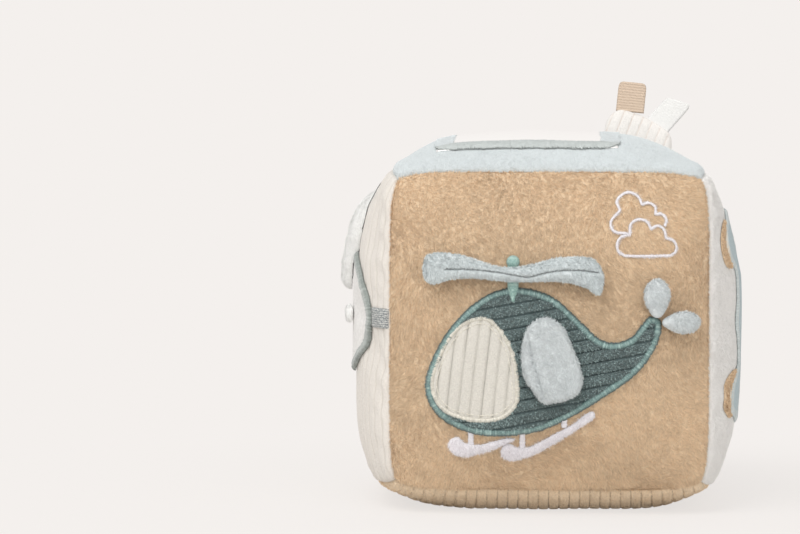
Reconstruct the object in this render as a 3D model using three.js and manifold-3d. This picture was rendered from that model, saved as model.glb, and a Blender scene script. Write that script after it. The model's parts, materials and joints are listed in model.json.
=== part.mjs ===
// A soft play cube: six stuffed fabric panels round a fibre filling and a rattle, with sewn
// figures, lifting padded pieces, a mirror on top and a corduroy tab with two tags.
// Millimetres, +Z up, origin on the resting face under the cube's centre, front towards -Y.

import * as THREE from 'three';
import { mergeVertices } from 'three/addons/utils/BufferGeometryUtils.js';
import Module from 'manifold-3d';

const wasm = await Module();
wasm.setup();

// Cube form: reaches are measured from the cube's centre
const SEAM_REACH = 68.8;
const CROWN_BULGE = 15.7;
const REST_BULGE = 9.7;
const CORNER_PULL = 6.3;
const CROWN_REACH = SEAM_REACH + CROWN_BULGE;
const REST_REACH = SEAM_REACH + REST_BULGE;
const CORNER_REACH = SEAM_REACH - CORNER_PULL;
const CROWN_POWER = 3.3;
const CORNER_POWER = 9;
const PANEL_STEPS = 10;

// Cloth and clearances
const PANEL_CLOTH = 3;
const GAP = 0.3;
const CUT_OVERRUN = 12;
const PATCH_CLOTH = 1.7;
const STITCH_RISE = 2;
const OUTLINE_STEPS = 30;
const SURFACE_PASSES = 30;
const CLEAR_SHARE = 0.97;

// Padded pieces, ring by ring: its share of the outline's size, then of the thickness
const PILLOW_RING_SHARES = [[0.93, 0.68], [0.75, 0.9], [0.4, 1]];
const PILLOW_EDGE_SHARE = 0.34;
const PILLOW_FLOOR_SHARE = 0.5;
const PAD_RING_SHARES = [[0.92, 0.42], [0.75, 0.8], [0.4, 1]];

// Helicopter body, placed from the middle of the front panel
const FUSELAGE_WIDTH = 99.5;
const FUSELAGE_HEIGHT = 63.4;
const FUSELAGE_X = -2.8;
const FUSELAGE_Z = -12;
const FUSELAGE_BORDER = 3.6;
const FUSELAGE_SHARES = [
  [-0.11, 0.5], [0.04, 0.44], [0.175, 0.255], [0.24, 0.16], [0.3, 0.133], [0.373, 0.167],
  [0.453, 0.303], [0.5, 0.283], [0.5, 0.173], [0.466, 0.053], [0.39, -0.09], [0.262, -0.233],
  [0.139, -0.353], [-0.012, -0.467], [-0.162, -0.5], [-0.286, -0.487], [-0.398, -0.42],
  [-0.472, -0.313], [-0.5, -0.16], [-0.472, 0], [-0.398, 0.213], [-0.298, 0.38], [-0.211, 0.467],
];

// Cockpit window
const WINDOW_WIDTH = 38.7;
const WINDOW_HEIGHT = 45.6;
const WINDOW_X = -31.4;
const WINDOW_Z = -15;
const WINDOW_BORDER = 2.3;
const WINDOW_SHARES = [
  [0.046, 0.5], [-0.205, 0.398], [-0.413, 0.13], [-0.5, -0.176], [-0.369, -0.394],
  [-0.063, -0.495], [0.287, -0.481], [0.479, -0.333], [0.5, -0.157], [0.418, 0.218], [0.189, 0.472],
];

// Door flap, hinged along its left edge
const FLAP_WIDTH = 23.8;
const FLAP_HEIGHT = 35.8;
const FLAP_X = 0.5;
const FLAP_Z = -10.8;
const FLAP_THICKNESS = 4.6;
const FLAP_EDGE_SHARE = 0.6;
const FLAP_TILT_DEG = 10;
const FLAP_SHARES = [
  [0.05, 0.5], [0.305, 0.369], [0.411, 0.127], [0.5, -0.171], [0.487, -0.331], [0.328, -0.458],
  [-0.069, -0.5], [-0.254, -0.478], [-0.385, -0.325], [-0.5, -0.119], [-0.462, 0.17],
  [-0.349, 0.36], [-0.223, 0.458],
];

// Rotor strip, sewn down at its centre over the mast
const BLADE_LENGTH = 34.2;
const BLADE_HEIGHT = 12.7;
const BLADE_THICKNESS = 5.6;
const ROTOR_X = -15.2;
const ROTOR_Z = 25;
const ROTOR_CENTRE_WIDTH = 7.4;
const ROTOR_CENTRE_HEIGHT = 6.2;
const ROTOR_CENTRE_THICKNESS = BLADE_THICKNESS * PILLOW_EDGE_SHARE;
const LEFT_BLADE_SHARES = [
  [0, 0.25], [-0.13, 0.3], [-0.33, 0.48], [-0.58, 0.67], [-0.79, 0.7], [-0.955, 0.62], [-1, 0.17],
  [-0.967, -0.2], [-0.9, -0.3], [-0.72, -0.18], [-0.5, -0.08], [-0.23, -0.12], [0, -0.2], [0, 0.02],
];
const RIGHT_BLADE_SHARES = [
  [0, -0.2], [0.35, -0.18], [0.6, -0.23], [0.81, -0.42], [0.945, -0.63], [1, -0.28], [0.98, 0.17],
  [0.88, 0.53], [0.765, 0.59], [0.475, 0.57], [0.23, 0.42], [0, 0.25], [0, 0.02],
];

// Rotor mast: a stitched knob above the rotor and a stem that narrows into the body
const MAST_WIDTH = 4.7;
const MAST_TIP_WIDTH = 1.2;
const MAST_FOOT = 7;
const MAST_KNOB_RISE = 8.2;
const MAST_KNOB_WIDTH = 5.6;

// Tail rotor: two padded lobes sewn down at their inner ends
const LOBE_LENGTH = 16.2;
const LOBE_WIDTHS = [10.8, 8.9];
const LOBE_THICKNESS = 5;
const LOBE_ROOT_X = 45.6;
const LOBE_ROOT_Z = 5;
const LOBE_ROOT_OFFSET = 2;
const LOBE_ANGLES_DEG = [91, -1];
const LOBE_SHARES = [
  [0, 0.12], [0.25, 0.36], [0.55, 0.5], [0.85, 0.38], [1, 0],
  [0.85, -0.38], [0.55, -0.5], [0.25, -0.36], [0, -0.12],
];

// Landing skids, stitched bars with short struts up to the body
const LEFT_SKID_WIDTH = 28.5;
const LEFT_SKID_HEIGHT = 8.5;
const LEFT_SKID_X = -28.4;
const SKID_DROP = 4.8;
const LEFT_SKID_SHARES = [
  [-0.5, 0.125], [-0.44, 0.425], [-0.352, 0.5], [-0.263, 0.225], [-0.04, 0.125], [0.167, 0.3],
  [0.389, 0.475], [0.5, 0.425], [0.322, 0.125], [0.122, -0.175], [-0.085, -0.375],
  [-0.263, -0.5], [-0.426, -0.325],
];
const RIGHT_SKID_WIDTH = 39.3;
const RIGHT_SKID_HEIGHT = 21.4;
const RIGHT_SKID_X = -0.6;
const RIGHT_SKID_SHARES = [
  [-0.5, -0.31], [-0.473, -0.19], [-0.403, -0.152], [-0.328, -0.23], [-0.21, -0.23], [-0.09, -0.13],
  [0.09, 0.065], [0.28, 0.263], [0.435, 0.488], [0.5, 0.5], [0.5, 0.4], [0.34, 0.184],
  [0.134, -0.073], [-0.054, -0.29], [-0.21, -0.42], [-0.371, -0.5], [-0.473, -0.449],
];
const STRUT_WIDTH = 3;
const LEFT_STRUT_SHARES = [-0.16];
const RIGHT_STRUT_SHARES = [-0.27, 0.18];

// Two stitched cloud outlines
const CLOUD_LINE = 1.5;
const CLOUD_WIDTH = 24.5;
const UPPER_CLOUD_HEIGHT = 14.6;
const LOWER_CLOUD_HEIGHT = 14.2;
const UPPER_CLOUD_X = 37.6;
const UPPER_CLOUD_Z = 52.6;
const LOWER_CLOUD_X = 41.2;
const CLOUD_SPACE = 1;
const UPPER_CLOUD_SHARES = [
  [-0.36, -0.36], [-0.5, -0.2], [-0.42, 0.02], [-0.3, 0.06], [-0.22, 0.42], [0, 0.5], [0.2, 0.36],
  [0.26, 0.14], [0.42, 0.12], [0.5, -0.08], [0.4, -0.3], [0.2, -0.42], [-0.1, -0.46],
];
const LOWER_CLOUD_SHARES = [
  [-0.4, -0.46], [-0.5, -0.24], [-0.46, 0.04], [-0.3, 0.1], [-0.22, 0.4], [0, 0.48], [0.16, 0.3],
  [0.28, 0.28], [0.38, 0.02], [0.5, -0.06], [0.5, -0.3], [0.38, -0.48], [0, -0.5],
];

// Aeroplane on the left panel, nose towards the front
const PLANE_LENGTH = 96;
const PLANE_HEIGHT = 52;
const PLANE_NOSE = 56;
const PLANE_Z = 5;
const PLANE_BORDER = 4;
const PLANE_SHARES = [
  [0.5, 0], [0.46, 0.3], [0.33, 0.46], [0.12, 0.5], [-0.12, 0.4], [-0.36, 0.22], [-0.5, 0.06],
  [-0.48, -0.1], [-0.34, -0.26], [-0.1, -0.42], [0.14, -0.5], [0.34, -0.45], [0.46, -0.29],
];
const KNOB_RADIUS = 4;
const KNOB_RISE = 3.4;
const KNOB_FROM_NOSE = 26;
const WING_LENGTH = 46;
const WING_WIDTH = 27;
const WING_THICKNESS = 6.4;
const WING_ROOT_Z = 15;
const WING_FROM_NOSE = 50;
const PLANE_RIBBON_WIDTH = 8.6;
const PLANE_RIBBON_CLOTH = 1;
const THREAD_WIDTH = 0.9;
const THREAD_RISE = 0.8;
const THREAD_REACH_SHARES = [[0.21, 0.9], [0.3, 0.78], [0.345, 0.66], [0.36, 0.55]];

// Car on the right panel, turned so that its wheels point to the front
const CAR_LENGTH = 94;
const CAR_HEIGHT = 46;
const CAR_SILL = -42;
const CAR_MIDDLE = 4.5;
const CAR_BORDER = 3.4;
const CAR_SHARES = [
  [-0.46, 0], [-0.5, 0.2], [-0.47, 0.46], [-0.34, 0.56], [-0.24, 0.88], [-0.06, 1], [0.14, 0.94],
  [0.28, 0.6], [0.45, 0.5], [0.5, 0.24], [0.46, 0], [0.2, 0], [-0.2, 0],
];
const WHEEL_RADIUS = 10.4;
const WHEEL_SPACING_SHARE = 0.69;
const WHEEL_DROP = 7;
const WHEEL_THICKNESS = 2;
const CAR_WINDOW_WIDTH_SHARE = 0.255;
const CAR_WINDOW_HEIGHT_SHARE = 0.28;
const CAR_WINDOW_RISE_SHARE = 0.63;
const CAR_WINDOW_SHARES = [
  [-0.5, -0.5], [-0.42, 0.2], [-0.2, 0.5], [0.2, 0.5], [0.42, 0.2], [0.5, -0.5], [0, -0.5],
];

// Mirror sheet and its four mitred padded frame sides on the top panel
const MIRROR_SIDE = 78;
const MIRROR_SHEET = 0.6;
const MIRROR_X = -9.5;
const MIRROR_Y = -16.5;
const FRAME_WIDTH = 8;
const FRAME_RISE = 2.2;
const FRAME_STEPS = 8;
const FRAME_SECTION_SHARES = [
  [-1, 0], [-0.92, 0.5], [-0.55, 0.9], [0, 1], [0.55, 0.9], [0.92, 0.5], [1, 0],
];

// Corduroy tab in the seam between top and back, and the two tags sewn into its edge
const TAB_WIDTH = 31;
const TAB_HEIGHT = 24;
const TAB_THICKNESS = 6.4;
const TAB_X = 41;
const TAB_SEAT = 0.9;
const TAB_LEAN_DEG = 15;
const TAB_SHARES = [
  [-0.42, 0], [-0.5, 0.42], [-0.45, 0.82], [-0.28, 1], [0, 0.93], [0.32, 0.78], [0.48, 0.6],
  [0.5, 0.3], [0.42, 0], [0, 0],
];
const TAG_THICKNESS = 1.6;
const TAG_ROOT_GAP = 0.6;
const RIBBON_WIDTH = 13;
const RIBBON_LENGTH = 15;
const RIBBON_ROOT_SHARES = [-0.1, 0.965];
const RIBBON_TURN_DEG = -6;
const LABEL_WIDTH = 11.4;
const LABEL_LENGTH = 14.4;
const LABEL_ROOT_SHARES = [0.4, 0.7];
const LABEL_TURN_DEG = -42;

// Inside: a crinkle sheet behind the front panel, the filling and the rattle
const CRINKLE_SIDE = 92;
const CRINKLE_SHEET = 0.4;
const RATTLE_RADIUS = 20;
const RATTLE_WALL = 1.5;
const RATTLE_RIM = 1.6;
const RATTLE_RIM_HEIGHT = 1.2;
const BALL_RADIUS = 3;
const BALL_CIRCLE = 4;
const BALL_COUNT = 3;
const BALL_SEGMENTS = 8;
const BALL_RINGS = 6;
const ARC_STEPS = 6;
const LATHE_STEPS = 18;

// Levels above a panel's cloth
const PATCH_TOP = GAP + PATCH_CLOTH;
const STITCH_TOP = GAP + STITCH_RISE;
const PAD_BASE = STITCH_TOP + GAP;
const CENTRE_Z = REST_REACH;

const COLOURS = {
  tanPlush: [0xd2ad84, 0.95], paleBluePlush: [0xd2dcdd, 0.95], whitePlush: [0xe2e0dc, 0.95],
  creamCorduroy: [0xe9e3d8, 0.95], tanCorduroy: [0xcfb593, 0.95], tealCorduroy: [0x667a7a, 0.95],
  mintSatin: [0x8fb3ac, 0.5], creamSatin: [0xe4dccb, 0.5], whiteSatin: [0xe8e3ea, 0.5],
  greyRibbon: [0xb5b6b4, 0.8], tanRibbon: [0xd2b08e, 0.8], darkThread: [0x4a4a48, 0.8],
  blueCloth: [0xa9bcc0, 0.9], mirrorFoil: [0xf2f4f4, 0.1], filling: [0xf4f2ec, 1],
  crinkleFoil: [0xdcdcd6, 0.4], rattlePlastic: [0xf0efe8, 0.4], ballPlastic: [0xc9c4b8, 0.4],
};

// The six faces: directions of right, up and out, seen from outside
const FACES = {
  front: [[1, 0, 0], [0, 0, 1], [0, -1, 0]],
  back: [[-1, 0, 0], [0, 0, 1], [0, 1, 0]],
  left: [[0, -1, 0], [0, 0, 1], [-1, 0, 0]],
  right: [[0, 1, 0], [0, 0, 1], [1, 0, 0]],
  top: [[1, 0, 0], [0, 1, 0], [0, 0, 1]],
  bottom: [[1, 0, 0], [0, -1, 0], [0, 0, -1]],
};

const cube = new THREE.Group();

function radians(degrees) {
  return THREE.MathUtils.degToRad(degrees);
}

function material(colour) {
  const [color, roughness] = COLOURS[colour];
  return new THREE.MeshStandardMaterial({ color, roughness, metalness: colour === 'mirrorFoil' ? 1 : 0 });
}

function addPart(name, solid, colour, parent = cube) {
  const geometry = solid.isBufferGeometry ? solid : geometryOf(solid);
  const mesh = new THREE.Mesh(geometry, material(colour));
  mesh.name = name;
  parent.add(mesh);
  return mesh;
}

function solidOf(geometry) {
  const bare = geometry.clone();
  bare.deleteAttribute('normal');
  bare.deleteAttribute('uv');
  const merged = mergeVertices(bare);
  const mesh = new wasm.Mesh({
    numProp: 3,
    vertProperties: Float32Array.from(merged.attributes.position.array),
    triVerts: Uint32Array.from(merged.index.array),
  });
  return new wasm.Manifold(mesh);
}

function geometryOf(solid) {
  const mesh = solid.getMesh();
  const geometry = new THREE.BufferGeometry();
  geometry.setAttribute('position', new THREE.BufferAttribute(Float32Array.from(mesh.vertProperties), 3));
  geometry.setIndex(Array.from(mesh.triVerts));
  return geometry;
}

function geometryFrom(points, triangles) {
  const geometry = new THREE.BufferGeometry();
  const positions = Float32Array.from(points.flatMap((point) => point.toArray()));
  geometry.setAttribute('position', new THREE.BufferAttribute(positions, 3));
  geometry.setIndex(triangles.flat());
  return geometry;
}

// Cube surface: distance from the centre of a seam at a share v of its length
function seamReach(share, inset) {
  return SEAM_REACH - CORNER_PULL * Math.abs(share) ** CORNER_POWER - inset;
}

// Height of a face over the cube's centre, at shares u and v of the panel
function faceHeight(face, u, v, inset) {
  const flatness = (1 - Math.abs(u) ** CROWN_POWER) * (1 - Math.abs(v) ** CROWN_POWER);
  const cornerPull = Math.abs(u * v) ** CORNER_POWER;
  const drop = CROWN_BULGE * (1 - flatness) + CORNER_PULL * cornerPull;
  const height = CROWN_REACH - drop - inset;
  return face === 'bottom' ? Math.min(height, REST_REACH - inset) : height;
}

function facePoint(face, right, up, height) {
  const [rightWay, upWay, outWay] = FACES[face].map((way) => new THREE.Vector3(...way));
  const point = rightWay.multiplyScalar(right);
  point.addScaledVector(upWay, up);
  point.addScaledVector(outWay, height);
  point.z += CENTRE_Z;
  return point;
}

// Share of the panel at a grid line; the lines draw together towards the seams
function gridShare(index) {
  return Math.sin(radians(90) * (2 * index / PANEL_STEPS - 1));
}

// A point of the panel's grid, raised by a level over the cloth or set in below it
function gridPoint(face, u, v, inset, level) {
  const right = u * seamReach(v, inset);
  const up = v * seamReach(u, inset);
  return facePoint(face, right, up, faceHeight(face, u, v, inset) + level);
}

// Height of the cloth over a place given in millimetres from the panel's middle
function heightAt(face, right, up) {
  let u = right / SEAM_REACH;
  let v = up / SEAM_REACH;
  for (let pass = 0; pass < SURFACE_PASSES; pass += 1) {
    u = right / seamReach(v, 0);
    v = up / seamReach(u, 0);
  }
  return faceHeight(face, u, v, 0);
}

function drapedPoint(face, right, up, level) {
  return facePoint(face, right, up, heightAt(face, right, up) + level);
}

// A closed slab over a whole face, between two surfaces given as (inset, level) pairs
function slab(face, outer, inner, edge) {
  const points = [];
  const triangles = [];
  const row = PANEL_STEPS + 1;
  const count = row * row;
  for (const [inset, level] of [outer, inner]) {
    for (let j = 0; j < row; j += 1) {
      for (let i = 0; i < row; i += 1) {
        points.push(gridPoint(face, edge * gridShare(i), edge * gridShare(j), inset, level));
      }
    }
  }
  for (let j = 0; j < PANEL_STEPS; j += 1) {
    for (let i = 0; i < PANEL_STEPS; i += 1) {
      const a = j * row + i;
      const b = a + 1;
      const c = a + row + 1;
      const d = a + row;
      triangles.push([a, b, c], [a, c, d]);
      triangles.push([a + count, c + count, b + count], [a + count, d + count, c + count]);
    }
  }
  for (let k = 0; k < PANEL_STEPS; k += 1) {
    const bottomEdge = [k, k + 1];
    const topEdge = [count - 1 - k, count - 2 - k];
    const rightEdge = [k * row + PANEL_STEPS, (k + 1) * row + PANEL_STEPS];
    const leftEdge = [(k + 1) * row, k * row];
    for (const [from, to] of [bottomEdge, topEdge, rightEdge, leftEdge]) {
      triangles.push([from, from + count, to + count], [from, to + count, to]);
    }
  }
  return solidOf(geometryFrom(points, triangles));
}

function layer(face, low, high) {
  return slab(face, [0, high], [0, low], 1);
}

// Outlines: closed curves through points given as shares of a width and a height
function outline(shares, width, height, x = 0, y = 0, steps = OUTLINE_STEPS) {
  const points = shares.map(([right, up]) => new THREE.Vector3(right * width + x, up * height + y, 0));
  const curve = new THREE.CatmullRomCurve3(points, true, 'centripetal');
  return curve.getPoints(steps).slice(0, -1).map((point) => new THREE.Vector2(point.x, point.y));
}

function ellipse(radiusX, radiusY, x, y, steps = LATHE_STEPS) {
  return new THREE.EllipseCurve(x, y, radiusX, radiusY).getPoints(steps).slice(0, -1);
}

function rectangle(width, height, x, y) {
  const corners = [[-1, -1], [1, -1], [1, 1], [-1, 1]];
  return corners.map(([i, j]) => new THREE.Vector2(x + i * width / 2, y + j * height / 2));
}

function turned(points, degrees, x, y) {
  const centre = new THREE.Vector2(0, 0);
  const shift = new THREE.Vector2(x, y);
  return points.map((point) => point.clone().rotateAround(centre, radians(degrees)).add(shift));
}

function outwards(points) {
  return THREE.ShapeUtils.isClockWise(points) ? [...points].reverse() : points;
}

function flat(point) {
  return new THREE.Vector3(point.x, point.y, 0);
}

// An outline moved out by a distance, or in by a negative one, without points that cross over
function moved(points, distance) {
  const loop = outwards(points);
  const count = loop.length;
  const shifted = loop.map((point, k) => {
    const before = loop[(k + count - 1) % count];
    const after = loop[(k + 1) % count];
    const way = after.clone().sub(before).normalize();
    return new THREE.Vector2(point.x + way.y * distance, point.y - way.x * distance);
  });
  const least = Math.abs(distance) * CLEAR_SHARE;
  const edges = loop.map((point, k) => new THREE.Line3(flat(point), flat(loop[(k + 1) % count])));
  const nearest = new THREE.Vector3();
  return shifted.filter((point) => edges.every((edge) => (
    edge.closestPointToPoint(flat(point), true, nearest).distanceTo(flat(point)) > least)));
}

// A band of one width along an open curve through the given points
function band(points, width, steps) {
  const curve = new THREE.SplineCurve(points);
  const sides = [];
  for (const side of [1, -1]) {
    for (let k = 0; k <= steps; k += 1) {
      const share = side > 0 ? k / steps : 1 - k / steps;
      const way = curve.getTangent(share);
      const point = curve.getPoint(share);
      sides.push(new THREE.Vector2(point.x + side * way.y * width / 2, point.y - side * way.x * width / 2));
    }
  }
  return sides;
}

// A straight block through the cloth of a face, with the given outline
function prism(face, points) {
  const low = CORNER_REACH - CUT_OVERRUN;
  const depth = CROWN_REACH + CUT_OVERRUN - low;
  const geometry = new THREE.ExtrudeGeometry(new THREE.Shape(points), { depth, bevelEnabled: false });
  geometry.translate(0, 0, low);
  const [rightWay, upWay, outWay] = FACES[face].map((way) => new THREE.Vector3(...way));
  geometry.applyMatrix4(new THREE.Matrix4().makeBasis(rightWay, upWay, outWay));
  geometry.translate(0, 0, CENTRE_Z);
  return solidOf(geometry);
}

function patch(face, points, low, high) {
  return layer(face, low, high).intersect(prism(face, points));
}

function ring(face, points, width, low, high) {
  return patch(face, points, low, high).subtract(prism(face, moved(points, -width)));
}

// A padded piece on a face: flat below, crowned above, drawn in to a thin sewn edge
function pillow(face, points, base, thickness, edgeShare = PILLOW_EDGE_SHARE) {
  const loop = outwards(points);
  const count = loop.length;
  const middle = loop.reduce((sum, point) => sum.add(point), new THREE.Vector2()).divideScalar(count);
  const ringShares = [[1, edgeShare], ...PILLOW_RING_SHARES];
  const vertices = [];
  const triangles = [];
  const push = (place, level) => vertices.push(drapedPoint(face, place.x, place.y, level)) - 1;
  const loops = ringShares.map(([scale, rise]) => loop.map((point) => (
    push(middle.clone().lerp(point, scale), base + thickness * rise))));
  const floors = [1, PILLOW_FLOOR_SHARE].map((scale) => loop.map((point) => (
    push(middle.clone().lerp(point, scale), base))));
  const peak = push(middle, base + thickness);
  const foot = push(middle, base);
  const bands = [[floors[0], loops[0]], [floors[1], floors[0]]];
  for (let k = 1; k < loops.length; k += 1) {
    bands.push([loops[k - 1], loops[k]]);
  }
  for (let k = 0; k < count; k += 1) {
    const next = (k + 1) % count;
    for (const [from, to] of bands) {
      triangles.push([from[k], from[next], to[next]], [from[k], to[next], to[k]]);
    }
    triangles.push([loops.at(-1)[k], loops.at(-1)[next], peak]);
    triangles.push([floors[1][next], floors[1][k], foot]);
  }
  return geometryFrom(vertices, triangles);
}

// Cube panels, each a crowned sheet of cloth mitred at its seams
function makePanels() {
  const edge = 1 - GAP / SEAM_REACH;
  const colours = {
    front: 'tanPlush', back: 'paleBluePlush', left: 'creamCorduroy',
    right: 'whitePlush', top: 'paleBluePlush', bottom: 'tanCorduroy',
  };
  for (const [face, colour] of Object.entries(colours)) {
    addPart(`${face}_panel`, slab(face, [0, 0], [PANEL_CLOTH, 0], edge), colour);
  }
}

// Filling: one lump of fibre in two halves, with a pocket for the rattle
function makeFilling() {
  const inset = PANEL_CLOTH + GAP;
  const reach = SEAM_REACH - inset;
  const points = [];
  const triangles = [];
  const row = PANEL_STEPS + 1;
  for (const face of Object.keys(FACES)) {
    const first = points.length;
    for (let j = 0; j < row; j += 1) {
      for (let i = 0; i < row; i += 1) {
        points.push(gridPoint(face, gridShare(i), gridShare(j), inset, 0));
      }
    }
    for (let j = 0; j < PANEL_STEPS; j += 1) {
      for (let i = 0; i < PANEL_STEPS; i += 1) {
        const a = first + j * row + i;
        triangles.push([a, a + 1, a + row + 1], [a, a + row + 1, a + row]);
      }
    }
  }
  const lump = solidOf(geometryFrom(points, triangles));
  const pocketRadius = RATTLE_RADIUS + RATTLE_RIM + GAP * 2;
  const pocketProfile = arc(pocketRadius, -radians(90), radians(90), ARC_STEPS * 2);
  const pocket = lathe(pocketProfile, 1);
  pocket.translate(0, 0, CENTRE_Z);
  const hollow = prism('front', rectangle(CRINKLE_SIDE + GAP, CRINKLE_SIDE + GAP, 0, 0));
  const sheetPocket = slab('front', [0, 0], [inset + CRINKLE_SHEET + GAP, 0], 1).intersect(hollow);
  const stuffed = lump.subtract(solidOf(pocket)).subtract(sheetPocket);
  const side = (reach + CUT_OVERRUN) * 2;
  for (const [name, way] of [['filling_lower', -1], ['filling_upper', 1]]) {
    const halfBlock = new THREE.BoxGeometry(side, side, side);
    halfBlock.translate(0, 0, CENTRE_Z + way * (side + GAP) / 2);
    addPart(name, stuffed.intersect(solidOf(halfBlock)), 'filling');
  }
  const foil = slab('front', [inset, 0], [inset + CRINKLE_SHEET, 0], 1);
  const foilOutline = rectangle(CRINKLE_SIDE - GAP, CRINKLE_SIDE - GAP, 0, 0);
  addPart('crinkle_sheet', foil.intersect(prism('front', foilOutline)), 'crinkleFoil');
}

// Points of an arc about the axis; one that ends on the axis is put exactly there
function arc(radius, from, to, steps) {
  const points = [];
  for (let k = 0; k <= steps; k += 1) {
    const angle = from + (to - from) * k / steps;
    const onAxis = Math.abs(Math.cos(angle)) < Number.EPSILON * steps;
    points.push(new THREE.Vector2(onAxis ? 0 : radius * Math.cos(angle), radius * Math.sin(angle)));
  }
  return points;
}

// A turned body about +Z, or about -Z for a way of -1
function lathe(profile, way) {
  const geometry = new THREE.LatheGeometry(profile, LATHE_STEPS);
  return geometry.rotateX(way * radians(90));
}

// Rattle: two half shells with a rim, and loose balls inside
function makeRattle() {
  const inner = RATTLE_RADIUS - RATTLE_WALL;
  const quarter = radians(90);
  const rim = RATTLE_RADIUS + RATTLE_RIM;
  const rimAngle = Math.asin(RATTLE_RIM_HEIGHT / RATTLE_RADIUS);
  const profile = [
    ...arc(inner, quarter, 0, ARC_STEPS),
    new THREE.Vector2(rim, 0),
    new THREE.Vector2(rim, RATTLE_RIM_HEIGHT),
    ...arc(RATTLE_RADIUS, rimAngle, quarter, ARC_STEPS),
  ];
  for (const [name, way] of [['rattle_shell_lower', -1], ['rattle_shell_upper', 1]]) {
    const mesh = addPart(name, solidOf(lathe(profile, way)), 'rattlePlastic');
    mesh.position.z = CENTRE_Z + way * GAP / 2;
  }
  const track = inner - BALL_RADIUS - GAP;
  const drop = Math.sqrt(track ** 2 - BALL_CIRCLE ** 2);
  for (let k = 0; k < BALL_COUNT; k += 1) {
    const angle = 2 * Math.PI * k / BALL_COUNT;
    const ball = new THREE.SphereGeometry(BALL_RADIUS, BALL_SEGMENTS, BALL_RINGS);
    const mesh = addPart(`rattle_ball_${k + 1}`, solidOf(ball), 'ballPlastic');
    mesh.position.set(BALL_CIRCLE * Math.cos(angle), BALL_CIRCLE * Math.sin(angle), CENTRE_Z - drop);
  }
}

// Helicopter body with its window set in, both with a stitched border
function makeFuselage() {
  const steps = OUTLINE_STEPS * 2;
  const body = outline(FUSELAGE_SHARES, FUSELAGE_WIDTH, FUSELAGE_HEIGHT, FUSELAGE_X, FUSELAGE_Z, steps);
  const glass = outline(WINDOW_SHARES, WINDOW_WIDTH, WINDOW_HEIGHT, WINDOW_X, WINDOW_Z);
  const opening = prism('front', moved(glass, GAP));
  const cloth = patch('front', moved(body, -FUSELAGE_BORDER - GAP), GAP, PATCH_TOP);
  addPart('fuselage', cloth.subtract(opening), 'tealCorduroy');
  const border = ring('front', body, FUSELAGE_BORDER, GAP, STITCH_TOP);
  addPart('fuselage_border', border.subtract(opening), 'mintSatin');
  const pane = patch('front', moved(glass, -WINDOW_BORDER - GAP), GAP, PATCH_TOP);
  addPart('cockpit_window', pane, 'creamCorduroy');
  addPart('cockpit_border', ring('front', glass, WINDOW_BORDER, GAP, STITCH_TOP), 'creamSatin');
  return body;
}

function makeDoorFlap() {
  const upright = outline(FLAP_SHARES, FLAP_WIDTH, FLAP_HEIGHT);
  const placed = turned(upright, FLAP_TILT_DEG, FLAP_X, FLAP_Z);
  const flap = pillow('front', placed, PAD_BASE, FLAP_THICKNESS, FLAP_EDGE_SHARE);
  addPart('door_flap', flap, 'paleBluePlush');
}

function makeRotor(body) {
  const root = ROTOR_CENTRE_WIDTH / 2 + GAP;
  const blades = [
    ['rotor_blade_left', LEFT_BLADE_SHARES, -root],
    ['rotor_blade_right', RIGHT_BLADE_SHARES, root],
  ];
  for (const [name, shares, start] of blades) {
    const blade = outline(shares, BLADE_LENGTH, BLADE_HEIGHT, ROTOR_X + start, ROTOR_Z);
    addPart(name, pillow('front', blade, PAD_BASE, BLADE_THICKNESS), 'paleBluePlush');
  }
  const centre = rectangle(ROTOR_CENTRE_WIDTH, ROTOR_CENTRE_HEIGHT, ROTOR_X, ROTOR_Z);
  const centreTop = PAD_BASE + ROTOR_CENTRE_THICKNESS;
  addPart('rotor_centre', patch('front', centre, PAD_BASE, centreTop), 'paleBluePlush');
  const knobRadius = MAST_KNOB_WIDTH / 2;
  const knob = ellipse(knobRadius, knobRadius, ROTOR_X, ROTOR_Z + MAST_KNOB_RISE - knobRadius);
  const foot = ROTOR_Z - MAST_FOOT;
  const stem = [
    new THREE.Vector2(ROTOR_X - MAST_WIDTH / 2, ROTOR_Z + MAST_KNOB_RISE / 2),
    new THREE.Vector2(ROTOR_X - MAST_WIDTH / 2, ROTOR_Z - MAST_FOOT / 2),
    new THREE.Vector2(ROTOR_X - MAST_TIP_WIDTH / 2, foot),
    new THREE.Vector2(ROTOR_X + MAST_TIP_WIDTH / 2, foot),
    new THREE.Vector2(ROTOR_X + MAST_WIDTH / 2, ROTOR_Z - MAST_FOOT / 2),
    new THREE.Vector2(ROTOR_X + MAST_WIDTH / 2, ROTOR_Z + MAST_KNOB_RISE / 2),
  ];
  const mast = patch('front', knob, GAP, STITCH_TOP).add(patch('front', stem, GAP, STITCH_TOP));
  addPart('rotor_mast', mast.subtract(prism('front', moved(body, GAP))), 'mintSatin');
}

function makeTailRotor() {
  const names = ['tail_lobe_upper', 'tail_lobe_lower'];
  names.forEach((name, k) => {
    const level = outline(LOBE_SHARES, LOBE_LENGTH, LOBE_WIDTHS[k], LOBE_ROOT_OFFSET, 0);
    const placed = turned(level, LOBE_ANGLES_DEG[k], LOBE_ROOT_X, LOBE_ROOT_Z);
    addPart(name, pillow('front', placed, PAD_BASE, LOBE_THICKNESS), 'paleBluePlush');
  });
}

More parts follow.
